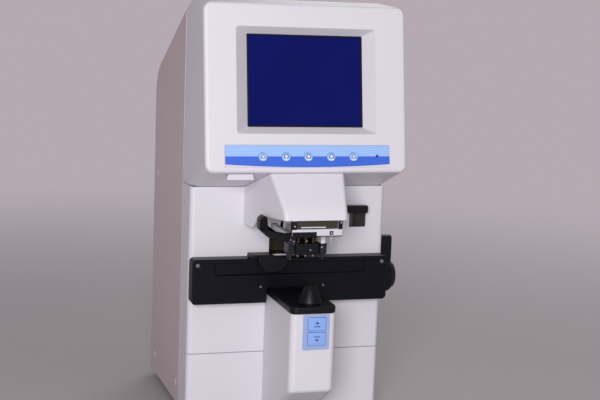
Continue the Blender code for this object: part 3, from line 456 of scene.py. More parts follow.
mid_blue = finish("label_blue", (0.050, 0.145, 0.68), 0.33, tint=0.03, relief=0.00001)
key_blue = finish("keypad_blue", (0.26, 0.43, 0.86), 0.36, tint=0.03, relief=0.00001)
frame_blue = finish("label_frame", (0.33, 0.42, 0.70), 0.36, tint=0.03, relief=0.00001)
ink = finish("printed_ink", (0.020, 0.040, 0.22), 0.40, tint=0.1)
white_ink = finish("white_ink", (0.72, 0.80, 0.93), 0.40, tint=0.02)
screen = finish("screen_glass", (0.0020, 0.0050, 0.105), 0.09, tint=0.25, patch=14, spread=0.02,
                relief=0.000002, Specular_IOR_Level=0.25)
lens = finish("lens_glass", (0.10, 0.13, 0.16), 0.03, tint=0.05, spread=0.01, relief=0.000001,
              Coat_Weight=1.0, Coat_Roughness=0.02)


# ---------------- metal cover
def cover_outline(depth):
    """The cover seen from its side, drawn in by depth at the back and the slope."""
    bend = COVER_TOP - COVER_SLOPE * (REAR - SEAM)
    corners = [(SEAM, COVER_LOW.z), (REAR, COVER_LOW.z), (REAR, bend), (SEAM, COVER_TOP)]
    return fillet(inset(corners, (0, depth, depth, 0)), {2: COVER_BEND - depth}, 16)


def cover_sections(radius, steps=8):
    """Places along X with how far the outline draws in: a quarter round at each side."""
    half = []
    for i in range(steps + 1):
        a = math.radians(90 - 90 * i / steps)
        half.append((HALF_WIDTH - COVER_EDGE + radius * math.sin(a), COVER_EDGE - radius * math.cos(a)))
    return [(-x, d) for x, d in half] + [(x, d) for x, d in reversed(half)]


def screw(place, direction, radius, height=0.0014, slots=2):
    """A pan-head screw with a cross recess."""
    recess = height * 0.45
    long, short = radius * 0.62, radius * 0.13
    profile = [(radius, 0), (radius, recess), (radius * 0.8, height * 0.85), (radius * 0.45, height)]
    head_piece = turned(profile, place, direction, 24)
    spin = Vector(direction).normalized().to_track_quat("Z", "Y").to_matrix()
    tools = []
    for i in range(slots):
        a, b = (long, short) if i else (short, long)
        rings = [[Vector(place) + spin @ Vector((x, y, t)) for x, y in rectangle(-a, a, -b, b)]
                 for t in (recess, height * 1.2)]
        tools.append(stack(rings))
    return cut(head_piece, *tools)


def rear_cover():
    cover = stack([[(x, y, z) for y, z in cover_outline(d)] for x, d in cover_sections(COVER_EDGE)])
    rings = []
    for x, d in cover_sections(COVER_EDGE - WALL):
        outline = cover_outline(d)
        outline[0] = (SEAM - OVER, COVER_LOW.z - OVER)
        outline[1] = (outline[1][0], COVER_LOW.z - OVER)
        outline[-1] = (SEAM - OVER, outline[-1][1] + OVER * COVER_SLOPE)
        rings.append([(x, y, z) for y, z in outline])
    tools = [stack(rings)]
    behind = (REAR - OVER, REAR + OVER)
    for i in range(VENTS):
        low = VENT_LOW + VENT_PITCH * i
        tools.append(prism(fillet(rectangle(-VENT_HALF, VENT_HALF, low, low + VENT_HEIGHT), 0.0017),
                           "Y", *behind))
    inlet, rocker = middle("power_inlet"), middle("power_rocker")
    half_x, half_z = 0.0143, 0.0103
    tools.append(prism(fillet(rectangle(inlet.x - half_x, inlet.x + half_x, inlet.z - half_z,
                                        inlet.z + half_z), 0.001), "Y", *behind))
    half_x, half_z = 0.0068, 0.0108
    tools.append(block((rocker.x - half_x, rocker.x + half_x), behind,
                       (rocker.z - half_z, rocker.z + half_z)))
    for side in (-1, 1):
        for y, z in COVER_SCREWS:
            tools.append(rod((side * (HALF_WIDTH - 0.0010), y, z), (side * (HALF_WIDTH + OVER), y, z),
                             0.0036, 28))
    cut(cover, *tools)
    show("cover_shell", cover, paint, edge=0.0005, replaces=("rear_cover",))


def cover_fixings():
    """Screws let into the sides of the cover and of the front panel."""
    screws = []
    for side in (-1, 1):
        for y, z in COVER_SCREWS:
            screws.append(screw((side * (HALF_WIDTH - 0.00105), y, z), (side, 0, 0), 0.0032, 0.0010))
    show("cover_screws", join(*screws), paint)
    dark = [screw((side * (HALF_WIDTH - 0.0011), *PANEL_SCREW), (side, 0, 0), 0.0022, 0.0010)
            for side in (-1, 1)]
    show("panel_screws", join(*dark), dark_steel)


# ---------------- front mouldings
def front_outline():
    outer, inner, rear = HALF_WIDTH, HALF_WIDTH - SHELL, SEAM - GAP
    corners = [(-outer, rear), (-outer, 0), (outer, 0), (outer, rear),
               (inner, rear), (inner, SHELL), (-inner, SHELL), (-inner, rear)]
    inside = FRONT_EDGE - SHELL
    return fillet(corners, {1: FRONT_EDGE, 2: FRONT_EDGE, 5: inside, 6: inside}, 8)


def recess_outline():
    """The opening over the table, with slots above it for the marker's carriage and the fork."""
    low, top, fork_top, carriage_top = 0.1705, 0.1895, 0.2016, 0.2072
    outer, fork_outer, fork_inner, carriage = 0.0195, 0.0176, 0.0119, 0.0065
    half = [(outer, low), (outer, top), (fork_outer, top), (fork_outer, fork_top),
            (fork_inner, fork_top), (fork_inner, top), (carriage, top), (carriage, carriage_top)]
    outline = half + [(-x, z) for x, z in reversed(half)]
    radii = {i: 0.0005 for i in range(1, len(outline) - 1)}
    return fillet(outline, {**radii, 0: 0.0015, len(outline) - 1: 0.0015}, 4)


def front_mouldings():
    low, high = span("lower_front_panel")
    show("front_panel_lower", prism(front_outline(), "Z", low.z, high.z), shell, edge=0.0005,
         replaces=("lower_front_panel",))
    moulding = prism(front_outline(), "Z", MOULD_LOW.z, MOULD_HIGH.z)
    lever_window = rectangle(0.0634, 0.0808, 0.1966, 0.2175)
    rack_slot = ((0.0675, 0.0785), THROUGH, (0.1555, 0.1675))
    lower_duct, upper_duct, hole = (0.0740, 0.1280), (0.2230, 0.26), 0.0046
    tools = [
        prism(recess_outline(), "Y", *THROUGH),
        prism(fillet(lever_window, 0.0006, 3), "Y", *THROUGH),
        block((-DUCT_HALF, DUCT_HALF), THROUGH, lower_duct),
        block(*rack_slot),
    ]
    for x in (GUIDE_ROD.x, -GUIDE_ROD.x):
        tools.append(rod((x, THROUGH[0], GUIDE_ROD.z), (x, THROUGH[1], GUIDE_ROD.z), hole))
    tools.append(rod((HALF_WIDTH - OVER, *LEVER_AXIS.yz), (HALF_WIDTH + OVER, *LEVER_AXIS.yz), hole))
    tools.append(block((-DUCT_HALF, DUCT_HALF), THROUGH, upper_duct))
    for side in (-1, 1):
        tools.append(rod((side * (HALF_WIDTH - 0.0011), *PANEL_SCREW), (side * 0.12, *PANEL_SCREW),
                         0.0024, 24))
    cut(moulding, *tools)
    show("front_panel_upper", moulding, shell, edge=0.0005,
         replaces=("front_moulding",))


# ---------------- screen head
def head_sections(radius, edge, steps=12):
    """Places along X, how far the head's corners draw in there, and how far its face does."""
    half = []
    for i in range(steps + 1):
        a = math.radians(90 - 90 * i / steps)
        short = radius * (1 - math.sin(a))
        over = max(0.0, edge - short)
        half.append((HEAD_HIGH.x - short, radius * (1 - math.cos(a)),
                     edge - math.sqrt(edge * edge - over * over)))
    return [(-x, d, c) for x, d, c in half] + [(x, d, c) for x, d, c in reversed(half)]


def head():
    rear, crest, low_z = SEAM - GAP, 0.022, HEAD_LOW.z
    corners = [tuple(FACE_BOTTOM.yz), (0, low_z), (rear, low_z), (rear, COVER_TOP),
               (crest, HEAD_HIGH.z), tuple(FACE_TOP.yz)]
    half = HEAD_HIGH.x
    rings = []
    for x, d, c in head_sections(HEAD_CORNER, FACE_EDGE):
        outline = fillet(inset(corners, (d, 0, 0, d, d, c)), {0: FACE_EDGE, 5: FACE_EDGE}, 6)
        rings.append([(x, y, z) for y, z in outline])
    bezel = stack(rings)
    inner = inset(corners, (SHELL, -0.01, -0.02, SHELL, SHELL, 0.010))
    hollow = prism(inner, "X", -half + SHELL, half - SHELL)
    proud = 0.001
    bevel_foot = SCREEN_DEPTH - 0.0002
    mouth = grown(BEVEL, proud * (BEVEL[1] - SCREEN[1]) / SCREEN_DEPTH)
    seat = grown(SCREEN, 0.001)
    opening = stack([[on_face(u, v, deep) for u, v in fillet(rectangle(*limits), radius, 4)]
                     for limits, radius, deep in ((mouth, 0.0030, -proud), (SCREEN, 0.0008, bevel_foot),
                                                  (seat, 0.0008, 0.00722), (seat, 0.0008, 0.013))])
    tools = [hollow, opening, face_slab(rectangle(*grown(LABEL, GAP)), -0.002, 0.0008)]
    for u in KEY_PLACES:
        tools.append(rod(on_face(u, KEY_UP, -0.002), on_face(u, KEY_UP, 0.005), KEY_RADIUS + KEY_ROOM))
    knob, knob_travel = middle("contrast_knob"), 0.0095
    tools.append(block((knob.x - knob_travel, knob.x + knob_travel), (-0.0470, -0.0430), (0.240, 0.262)))
    tools.append(block((-DUCT_HALF, DUCT_HALF), (-0.030, 0.030), (0.220, 0.2520)))
    painted(cut(bezel, *tools), shell)
    # Faces of the sloping bevel around the screen take the darker copy: painted shade.
    bezel.data.materials.append(painted_bevel_shade)
    for face in bezel.data.polygons:
        place = face.center - FACE_BOTTOM
        if (0.0002 < place.dot(FACE_INWARD) < bevel_foot - 0.0001 and abs(place.x) < BEVEL[1]
                and BEVEL[2] < place.dot(FACE_RISE) < BEVEL[3]):
            face.material_index = 1
    show("head_shell", bezel, None, edge=0.0005, replaces=("head_bezel",),
         limit=20)

    rim = face_slab(rectangle(*grown(SCREEN, -GAP)), 0.0068, SCREEN_DEPTH)
    cut(rim, face_slab(rectangle(*grown(SCREEN, -0.0014)), 0.006, 0.009))
    show("screen_gasket", rim, black, edge=0.0001)
    refine("screen_glass", screen, 0.0002)
    refine("lcd_module", tin, 0.0005)


def label_edge(u):
    """Height of the label's curved lower edge."""
    t = (u - (LABEL[0] + LABEL[1]) / 2) / ((LABEL[1] - LABEL[0]) / 2)
    return LABEL[2] + LABEL_SAG * t * t


def icon(kind, size):
    """Outline points of a menu key's symbol, about its own centre."""
    foot, eaves = -size * 0.7, -size * 0.1
    if kind == "house":
        return [(-size, foot), (size, foot), (size, eaves), (0, size), (-size, eaves)]
    return [(-size, foot), (size, foot)] + arc((0, 0), size, 0, 180, 10)


def label():
    steps = 24
    us = [LABEL[0] + (LABEL[1] - LABEL[0]) * i / steps for i in range(steps + 1)]
    low_band = [(u, label_edge(u)) for u in us] + [(LABEL[1], BAND_EDGE), (LABEL[0], BAND_EDGE)]
    high_band = rectangle(LABEL[0], LABEL[1], BAND_EDGE, LABEL[3])
    dot = (0.0688, 0.0154)
    lamp = painted(rod(on_face(*dot, -0.0003), on_face(*dot, 0.0004), 0.0013), ink)
    for name, outline, look in (("label_low_band", low_band, mid_blue),
                                ("label_high_band", high_band, light_blue)):
        band = face_slab(outline, 0.0, LABEL_THICKNESS)
        cut(band, *[rod(on_face(u, KEY_UP, -0.002), on_face(u, KEY_UP, 0.002), KEY_RADIUS + KEY_ROOM)
                    for u in KEY_PLACES])
        show(name, band, look, edge=0.00006, replaces=("label_strip",), steps=2)
    show("label_lamp", lamp, None)

    for i, u in enumerate(KEY_PLACES):
        node = f"menu_key_{i + 1}"
        front = on_face(u, KEY_UP, -KEY_PROUD)
        dish = [(0.0001, 0.00022), (0.0020, 0.00018), (0.0031, 0.00002), (0.0034, 0), (0.0038, 0.00018),
                (KEY_RADIUS, 0.0006), (KEY_RADIUS, 0.0045)]
        cap = painted(turned(dish, front, FACE_INWARD, 48), light_blue)
        kind = "house" if i in (0, 4) else "arch"
        seat = 0.0004 - KEY_PROUD
        marks = []
        for size, depth, look in ((0.0022, -0.00002, ink), (0.0015, -0.00007, white_ink)):
            mark = face_slab([(u + a, KEY_UP + 0.0006 + b) for a, b in icon(kind, size)],
                             depth - KEY_PROUD, seat)
            marks.append(painted(mark, look))
        line = face_slab(rectangle(u - 0.0024, u + 0.0024, KEY_UP - 0.0026, KEY_UP - 0.0018),
                         -0.00005 - KEY_PROUD, seat)
        marks.append(painted(line, white_ink))
        show(f"menu_key_cap_{i + 1}", join(cap, *marks), None, node,
             replaces=(node,))


# ---------------- upper nose
NOSE_HALF_AT_PANEL, NOSE_HALF_AT_FRONT = 0.0465, 0.0303
NOSE_LIP = Vector((-0.0856, 0.2287))                  # (Y, Z) where the sloping front meets the lip


def underside(y):
    """Height of the head's sloping underside."""
    return HEAD_LOW.z + (FACE_BOTTOM.z - HEAD_LOW.z) * y / FACE_BOTTOM.y


def nose_half(y):
    return NOSE_HALF_AT_PANEL + (NOSE_HALF_AT_FRONT - NOSE_HALF_AT_PANEL) * y / NOSE_LOW.y


def nose_solid(outline, wall):
    return stack([[(side * (nose_half(y) - wall), y, z) for y, z in outline] for side in (-1, 1)])


def upper_nose():
    rear, crease, lip_low, near = -GAP, -0.0564, 0.2190, 1e-4
    outline = [(-0.0190, 0.2010), (rear, 0.2010), (rear, underside(rear) - GAP),
               (crease, underside(crease) - GAP), tuple(NOSE_LIP), (NOSE_LOW.y, lip_low),
               (-0.0330, 0.2155)]
    housing = nose_solid(outline, 0.0)
    round_edges(housing, 0.0045, lambda m, d: abs(d.x) > 0.9 and (m.yz - NOSE_LIP).length < near)
    round_edges(housing, 0.0035, lambda m, d: abs(d.x) < 0.5 and m.y < -0.05 and m.z > lip_low + near
                and abs(abs(m.x) - nose_half(m.y)) < near and abs(d.y) < 0.75)
    hollow_line = inset(outline, (0, -OVER, SHELL, SHELL, SHELL, 0, 0))
    below = 0.18
    hollow = [(hollow_line[5][0], below), (hollow_line[2][0], below)] + hollow_line[2:6]
    duct = block((-DUCT_HALF, DUCT_HALF), (-0.030, OVER), (0.210, 0.262))
    cut(housing, nose_solid(hollow, SHELL), duct)
    show("upper_nose_shell", housing, shell, edge=0.0006,
         replaces=("upper_nose_housing",))
    refine("nose_plate", black, 0.0002)
    refine("objective_barrel", steel, 0.0002)
    refine("objective_lens", lens, 0.0)
    refine("sensor_board", board, 0.0001)


# ---------------- lower nose
LOWER_FOOT_Y, LOWER_CORNER_Z = -0.0180, 0.0563        # ends of the sloping underside


def lower_plan(front, wall=0.0, rear=-GAP):
    """Plan of the lower nose with its front at the given depth; wall thins it from inside."""
    half, radius = LOWER_HIGH.x - wall, 0.006 - wall
    return fillet(rectangle(-half, half, front, rear), {0: radius, 1: radius}, 10)


def lower_key_outline(key, margin, corner=0.0015):
    """Outline of a key on the lower nose about its centre, grown by margin."""
    half_x, half_z = 0.0088 + margin, 0.0062 + margin
    return fillet(rectangle(key.x - half_x, key.x + half_x, key.z - half_z, key.z + half_z),
                  corner + margin, 5)


def lower_key_holes(keys):
    return [prism(lower_key_outline(key, KEY_ROOM), "Y", -0.10, -0.08) for key in keys.values()]


def lower_nose():
    low, high, front = LOWER_LOW.z, LOWER_HIGH.z, LOWER_LOW.y
    profile = fillet([(LOWER_FOOT_Y, low), (front, LOWER_CORNER_Z), (front, high)], {1: 0.0045}, 8)
    housing = stack([[(x, y, z) for x, y in lower_plan(depth)] for depth, z in profile])
    inner = front + SHELL
    profile = [(LOWER_FOOT_Y, low + 0.0035), (inner, LOWER_CORNER_Z + 0.0019), (inner, high + OVER)]
    keys = {name: middle(name) for name in ("memory_key", "read_key")}
    hollow = stack([[(x, y, z) for x, y in lower_plan(depth, SHELL, OVER)] for depth, z in profile])
    cut(housing, hollow, *lower_key_holes(keys))
    show("lower_nose_shell", housing, shell, edge=0.0005,
         replaces=("lower_nose_housing",))

    low, high = span("nose_cap")
    corner = 0.0075
    plan = fillet(rectangle(low.x, high.x, low.y, high.y), {0: corner, 1: corner}, 3)
    cap = prism(plan, "Z", low.z, high.z)
    cut(cap, rod((0, AXIS_Y, 0.12), (0, AXIS_Y, 0.15), 0.0070))
    show("nose_cap_cover", cap, black, edge=0.0012, replaces=("nose_cap",))

    low, high = span("nosepiece")
    radius, base, top, bore = high.x, low.z, high.z, 0.0036
    profile = [(0.0040, base), (radius - 0.0003, base), (radius, base + 0.0003), (radius, base + 0.0010),
               (radius - 0.0004, base + 0.0013), (radius, base + 0.0016), (radius, base + 0.0025),
               (radius - 0.0008, base + 0.0045), (0.0098, base + 0.0068), (0.0085, base + 0.0095),
               (0.0074, base + 0.0120), (0.0062, base + 0.0145), (0.0054, top - 0.0012),
               (0.0050, top - 0.0003), (0.0046, top), (0.0040, top), (bore, top - 0.0004),
               (bore, base + 0.004), (0.0040, base)]
    show("lens_stop_nosepiece", turned(profile, (0, AXIS_Y, 0), Z, 56), black,
         replaces=("nosepiece",))

    low, high = span("key_label")
    plate = prism(fillet(rectangle(low.x, high.x, low.z, high.z), 0.0012, 5), "Y",
                  low.y + 0.0002, high.y)
    cut(plate, *lower_key_holes(keys))
    between, web_half = (keys["memory_key"].z + keys["read_key"].z) / 2, 0.0005
    web = block((-0.0058, 0.0116), (low.y, high.y - 0.0001), (between - web_half, between + web_half))
    film = join(painted(plate, frame_blue), painted(web, key_blue))
    show("key_label_film", film, None, edge=0.0001,
         replaces=("key_label",), steps=2)

    for (name, key), up in zip(keys.items(), (-1, 1)):
        low, high = span(name)
        rings = []
        for depth, shrink in ((0.00005, 0.0009), (0.00015, 0.0005), (0.0004, 0.0001), (0.0008, 0.0),
                              (0.0052, 0.0)):
            rings.append([(x, low.y + depth, z) for x, z in lower_key_outline(key, -shrink)])
        cap = painted(stack(rings), key_blue)
        printed = (low.y, low.y + 0.0005)
        foot, tip, bar_z = key.z + up * 0.0002, key.z + up * 0.0026, key.z - up * 0.0022
        arrow = prism([(key.x - 0.0020, foot), (key.x, tip), (key.x + 0.0020, foot)], "Y", *printed)
        bar = block((key.x - 0.0030, key.x + 0.0030), printed, (bar_z - 0.0004, bar_z + 0.0004))
        show(f"{name}_cap", join(cap, painted(arrow, ink), painted(bar, ink)), None, name,
             replaces=(name,))

    refine("collimator_tube", black, 0.0002)
    refine("collimator_lens", lens, 0.0)
    refine("light_source", board, 0.0001)


# ---------------- lens table
def table():
    low, high = TABLE_LOW, TABLE_HIGH
    outline = fillet(rectangle(low.x, high.x, low.z, high.z), 0.004, 8)
    bar = prism(outline, "Y", low.y, high.y)
    before, notch_half, notch_top = low.y - OVER, 0.0250, 0.1405
    notch = fillet(rectangle(-notch_half, notch_half, low.z - OVER, notch_top), {2: 0.003, 3: 0.003}, 5)
    groove = fillet(rectangle(-0.0775, 0.0763, 0.1535, 0.1653), 0.0010, 4)
    cut(bar, prism(notch, "Y", before, OVER), prism(groove, "Y", before, low.y + 0.0030))
    corners = [(-0.0945, 0.1638), (0.0945, 0.1638)]
    holes = [(-0.0311, 0.1412), (0.0334, 0.1412)]
    corner_floor, hole_floor = low.y + 0.0012, low.y + 0.0010
    cut(bar, *[rod((x, before, z), (x, corner_floor, z), 0.0024, 24) for x, z in corners],
        *[rod((x, before, z), (x, hole_floor, z), 0.0015, 20) for x, z in holes])
    show("table_bar_body", bar, black_metal, "table", edge=0.0007,
         replaces=("table_bar",))
    screws = [screw((x, corner_floor, z), TO_FRONT, 0.0020, 0.0011, 1) for x, z in corners]
    show("table_screws", join(*screws), zinc, "table")
    studs = [screw((x, hole_floor, z), TO_FRONT, 0.0012, 0.0008, 1) for x, z in holes]
    show("table_studs", join(*studs), zinc, "table")
    for side in ("left", "right"):
        refine(f"guide_rod_{side}", steel, 0.0004)
        refine(f"rod_bushing_{side}", brass, 0.0002)
    refine("table_rack", steel, 0.0001)


def pd_slider():
    low, high = span("pd_slider")
    radius, top, tongue_half = 0.0158, 0.1716, 0.006
    centre_x = high.x - radius
    disc = prism(arc((centre_x, top), radius, 180, 360, 48), "Y", low.y, TABLE_LOW.y - GAP)
    rider = block((low.x, centre_x + 0.0001), (low.y, -0.0040), (TABLE_HIGH.z + GAP, high.z))
    tongue = block((centre_x - tongue_half, centre_x + tongue_half),
                   (TABLE_LOW.y - 0.0013, TABLE_LOW.y + 0.0019), (0.1565, 0.1625))
    add(disc, rider, tongue)
    show("pd_slider_body", disc, black, "pd_slider", edge=0.0010,
         replaces=("pd_slider",))


def table_lever():
    low, high = span("table_lever")
    y, z = LEVER_AXIS.yz
    inner, radius, arm_outer, arm_half = low.x, 0.017, 0.1162, 0.006
    reach = high.x - inner
    profile = [(radius - 0.0006, 0), (radius, 0.0006), (radius, 0.0120), (radius - 0.0008, 0.0136),
               (radius - 0.0045, reach - 0.0004), (radius - 0.0055, reach), (0.0060, reach),
               (0.0055, reach - 0.0008), (0.0052, reach - 0.0012)]
    lever = turned(profile, (inner, y, z), X, 72)
    grips, under_arm = 24, (5, 6, 7)
    tools = []
    for i in range(grips):
        if i not in under_arm:
            a = 2 * math.pi * i / grips
            away = radius + 0.0006
            centre = Vector((0, y + away * math.cos(a), z + away * math.sin(a)))
            tools.append(rod(centre + X * (inner + 0.0015), centre + X * (inner + 0.0112), 0.0010, 10))
    arm = prism(fillet(rectangle(y - arm_half, y + arm_half, z, high.z), {2: 0.004, 3: 0.004}, 8), "X",
                inner + 0.0004, arm_outer)
    cut(lever, *tools)
    add(lever, arm)
    cut(lever, rod((inner - 0.001, y, z), (inner + 0.011, y, z), 0.0043))
    show("table_lever_body", lever, black, "table_lever", edge=0.0004,
         replaces=("table_lever",))
    arm_screw = screw((arm_outer - 0.0001, y - 0.0005, z + 0.0235), X, 0.0022)
    hub_screw = screw((high.x - 0.0013, y, z), X, 0.0042, 0.0012)
    show("table_lever_screws", join(arm_screw, hub_screw), steel, "table_lever")
    refine("pinion_shaft", steel, 0.0001)


# ---------------- marking unit
def marking_unit():
    """Sliding block, black in front and white at its rear, with three pins."""
    front, white_from = span("marker_block")[0].y, -0.0440
    body = refine("marker_block", black, 0.0004)
    body.data.materials.append(shell)
    for face in body.data.polygons:
        if face.center.y - HOME.y > white_from:
            face.material_index = 1
    for i in range(3):
        node = f"marking_pin_{i + 1}"
        low, high = span(node)
        centre = middle(node)
        r, bottom, top = high.x - centre.x, low.z, high.z
        base, shank, joint = top - 0.0099, 0.0009, bottom + 0.0034
        place = (centre.x, centre.y, 0)
        point = turned([(0.0003, bottom), (0.0006, bottom + 0.0004), (shank, bottom + 0.0018),
                        (shank, joint)], place, Z, 20)
        profile = [(shank, joint), (shank, base), (r, base), (r, base + 0.0008)]
        turns, waist = 8, r * 0.78
        pitch = (top - base - 0.0020) / turns
        for turn in range(turns):
            z = base + 0.0010 + turn * pitch
            profile += [(waist, z), (r, z + pitch * 0.3), (r, z + pitch * 0.6), (waist, z + pitch * 0.9)]
        profile += [(r, top - 0.0008), (r, top)]
        spring = painted(turned(profile, place, Z, 28), copper)
        show(f"{node}_spring", join(spring, painted(point, steel)), None, "marker",
             replaces=(node,))
    stud = screw((0.0034, front + 0.0004, 0.1862), TO_FRONT, 0.0010, 0.0005, 1)
    clip = screw((0.0, middle("marking_pin_2").y - 0.0022, 0.1946), TO_FRONT, 0.0009, 0.0005, 1)
    show("marker_screws", join(stud, clip), steel, "marker")
    refine("marker_guide_rod", steel, 0.0002)


def marking_bracket():
    """Bracket under the upper nose with the small pieces seen on it, a sheet of painted shade behind it
    and painted glints on it.
    """
    low, high = span("marking_bracket")
    left, right, front, back = low.x, high.x, low.y, high.y
    bar_low, bar_high, legs_top, leg = low.z, 0.2105, high.z, 0.004
    frame_line = [(left, bar_low), (right, bar_low), (right, legs_top), (right - leg, legs_top),
                  (right - leg, bar_high), (left + leg, bar_high), (left + leg, legs_top),
                  (left, legs_top)]
    bracket = prism(fillet(frame_line, {0: 0.0012, 1: 0.0012, 4: 0.0015, 5: 0.0015}, 4), "Y", front, back)
    hole_x, hole_z, rim = 0.0156, 0.2068, 0.0018
    cut(bracket, rod((hole_x, front - 0.001, hole_z), (hole_x, back + 0.001, hole_z), 0.0012, 20))
    near = (front - 0.0003, front - 0.00005)
    legs = (bar_high - 0.0003, legs_top - 0.0002)
    shield_right = 0.0012
    dark = [block((left - 0.0010, left + leg + 0.0003), (front - 0.0003, back + 0.0004), legs),
            block((right - leg - 0.0002, right), near, legs),
            block((shield_right, right), near, (bar_low, bar_low + 0.0008)),
            block((left, shield_right), near, (bar_low - 0.0004, 0.2080)),
            block((hole_x - rim, hole_x + rim), near, (hole_z - rim, hole_z + rim))]
    # A light disc on the dark screw: painted highlight.
    painted_highlight_pip = rod((hole_x, front - 0.0005, hole_z), (hole_x, front - 0.0002, hole_z), 0.0007, 16)
    # A thin dark brown sheet behind the bracket: painted shade under the nose.
    strip = block((left + leg, right - leg), (back + 0.0002, back + 0.0009), (0.2108, legs[1]))
    rail_y, rail_z = (front + back) / 2, 0.2122
    rail = rod((-0.0140, rail_y, rail_z), (0.0100, rail_y, rail_z), 0.0007, 16)
    wire = rod((hole_x, rail_y, bar_low + 0.0004), (hole_x, rail_y, bar_low - 0.0075), 0.00025, 10)
    # Light dots on the dark leg blocks: painted glints.
    painted_glints = [rod((x, front - 0.0005, z), (x, front - 0.0001, z), 0.0006, 12)
            for x, z in ((left + 0.0022, 0.2135), (right - 0.0016, 0.2165))]
    details = [painted(piece, black) for piece in dark]
    details += [painted(painted_highlight_pip, satin), painted(strip, umber)]
    details += [painted(piece, satin) for piece in (rail, wire, *painted_glints)]
    show("marking_bracket_plate", join(painted(bracket, satin), *details), None, edge=0.00010,
         replaces=("marking_bracket",), steps=2)
    refine("marking_lever", black, 0.0007)
    refine("lever_bracket", steel, 0.0002)


# ---------------- lens presser
def lens_presser():
    low, high = span("presser_frame")
    inner, outer, bridge, fork_low = 0.0125, 0.0170, 0.0105, 0.1930
    plan = [(-outer, low.y), (-inner, low.y), (-inner, bridge), (inner, bridge),
            (inner, low.y), (outer, low.y), (outer, high.y), (-outer, high.y)]
    fork = prism(fillet(plan, {0: 0.001, 1: 0.001, 4: 0.001, 5: 0.001, 2: 0.002, 3: 0.002}, 4), "Z",
                 fork_low, high.z)
    post = middle("presser_rod")
    cut(fork, rod((post.x, post.y, 0.18), (post.x, post.y, 0.22), 0.0018, 20))
    pads = [block(sorted((side * 0.0128, side * 0.0190)), (-0.0640, -0.0490),
                  (low.z, fork_low - 0.00005)) for side in (-1, 1)]
    pads.append(block((-0.0186, -0.0121), (low.y - 0.0003, -0.0520),
                      (fork_low + 0.0002, high.z + 0.0004)))
    body = join(painted(fork, shell), *[painted(pad, black_metal) for pad in pads])
    show("presser_fork", body, None, "presser", edge=0.0004,
         replaces=("presser_frame",))
    screws = [screw(place, TO_FRONT, radius, 0.0005, 1)
              for place, radius in (((-0.0176, low.y - 0.0002, 0.1972), 0.0008),
                                    ((-0.0146, low.y - 0.0002, 0.1956), 0.0009),
                                    ((0.0142, -0.0639, 0.1893), 0.0010))]
    show("presser_screws", join(*screws), steel, "presser")
    low, high = span("presser_handle")
    outline = [(-0.0173, 0.1935), (-0.0173, 0.2005), (-0.0280, 0.2025), (-0.0385, 0.2100),
               (-0.0390, 0.2175), (-0.0422, 0.2195), (-0.0465, 0.2160), (-0.0463, 0.2060),
               (-0.0370, 0.1980)]
    radii = {2: 0.002, 3: 0.0015, 4: 0.0008, 5: 0.0015, 6: 0.002, 7: 0.002, 8: 0.003}
    handle = prism(fillet(outline, radii, 4), "Y", low.y, high.y)
    ribs, before = [], low.y - 0.001
    for i in range(5):
        z = 0.2065 + 0.0020 * i
        rib = (z - 0.0004, z + 0.0004)
        ribs.append(block((-0.0480, -0.0459), (before, high.y + 0.001), rib))
        ribs.append(block((-0.0462, -0.0385), (before, low.y + 0.0005), rib))
    cut(handle, *ribs)
    show("presser_handle_grip", handle, black, "presser", edge=0.0004,
         replaces=("presser_handle",))
    for side in ("left", "right"):
        refine(f"presser_tip_{side}", rubber, 0.0002)
    refine("presser_rod", steel, 0.0002)
    # The liner's dark brown is painted shade inside the recess.
    refine("recess_liner", umber, 0.0003)


# ---------------- base, inside and back
# Chips on the main board: X, Z, half width, half height.
CHIPS = ((-0.045, 0.260, 0.012, 0.012), (-0.010, 0.250, 0.016, 0.016), (0.030, 0.262, 0.010, 0.006),
         (0.050, 0.230, 0.012, 0.008), (-0.050, 0.215, 0.014, 0.007), (0.010, 0.210, 0.020, 0.005))


def inside():
    refine("base_plate", alloy, 0.0004)
    for end in ("front", "rear"):
        for side in ("left", "right"):
            node = f"foot_{end}_{side}"
            high, centre = span(node)[1], middle(node)
            radius = high.x - centre.x
            groove = radius - 0.0006
            profile = [(radius * 0.55, 0), (radius * 0.58, 0.0004), (radius * 0.80, 0.0004),
                       (radius * 0.86, 0), (radius * 0.95, 0.0004), (radius, 0.0014), (radius, 0.0030),
                       (groove, 0.0034), (groove, 0.0042), (radius, 0.0046),
                       (radius, high.z - 0.0006), (groove, high.z)]
            show(f"{node}_pad", turned(profile, (centre.x, centre.y, 0), Z, 48), rubber,
                 replaces=(node,))
    refine("optical_frame", alloy, 0.0005)
    low, high = span("main_board")
    depth = (high.y - 0.0002, high.y + 0.0022)
    chips = [painted(block((x - w, x + w), depth, (z - h, z + h)), chip) for x, z, w, h in CHIPS]
    base_board = painted(block((low.x, high.x), (low.y, high.y), (low.z, high.z)), board)
    show("main_board_assembly", join(base_board, *chips), None, edge=0.0002,
         replaces=("main_board",))
    refine("power_supply", tin, 0.0008)
    for node in ("power_inlet", "power_rocker"):
        refine(node, black, 0.0003)
    refine("contrast_knob", shell, 0.0004)


# ---------------- floor, light and camera
BACKDROP = (0.46, 0.40, 0.445, 1)
SKY, SKY_STRENGTH = (0.95, 0.90, 0.96, 1), 0.24
FLOOR_HALF = 6.0
FADE_FROM, FADE_TO = 0.3, 1.7      # distances over which the floor turns into the backdrop
AIM = HOME + Vector((0, -0.02, 0.22))
LAMPS = (("key", (-0.56, -1.48, 0.54), 0.55, 18.0),    # name, place, size, power
         ("top", (0.30, -0.30, 1.60), 1.0, 3.0),
         ("back", (0.90, 1.40, 1.20), 1.2, 8.0))
EYE = HOME + Vector((-0.3748, -1.2288, 0.4202))
RIGHT, UP = Vector((0.9551, -0.2939, 0.0362)), Vector((0.0100, 0.1542, 0.9879))
FORWARD = Vector((0.2959, 0.9433, -0.1502))
FOCAL, FILM = 78.97, 36            # millimetres


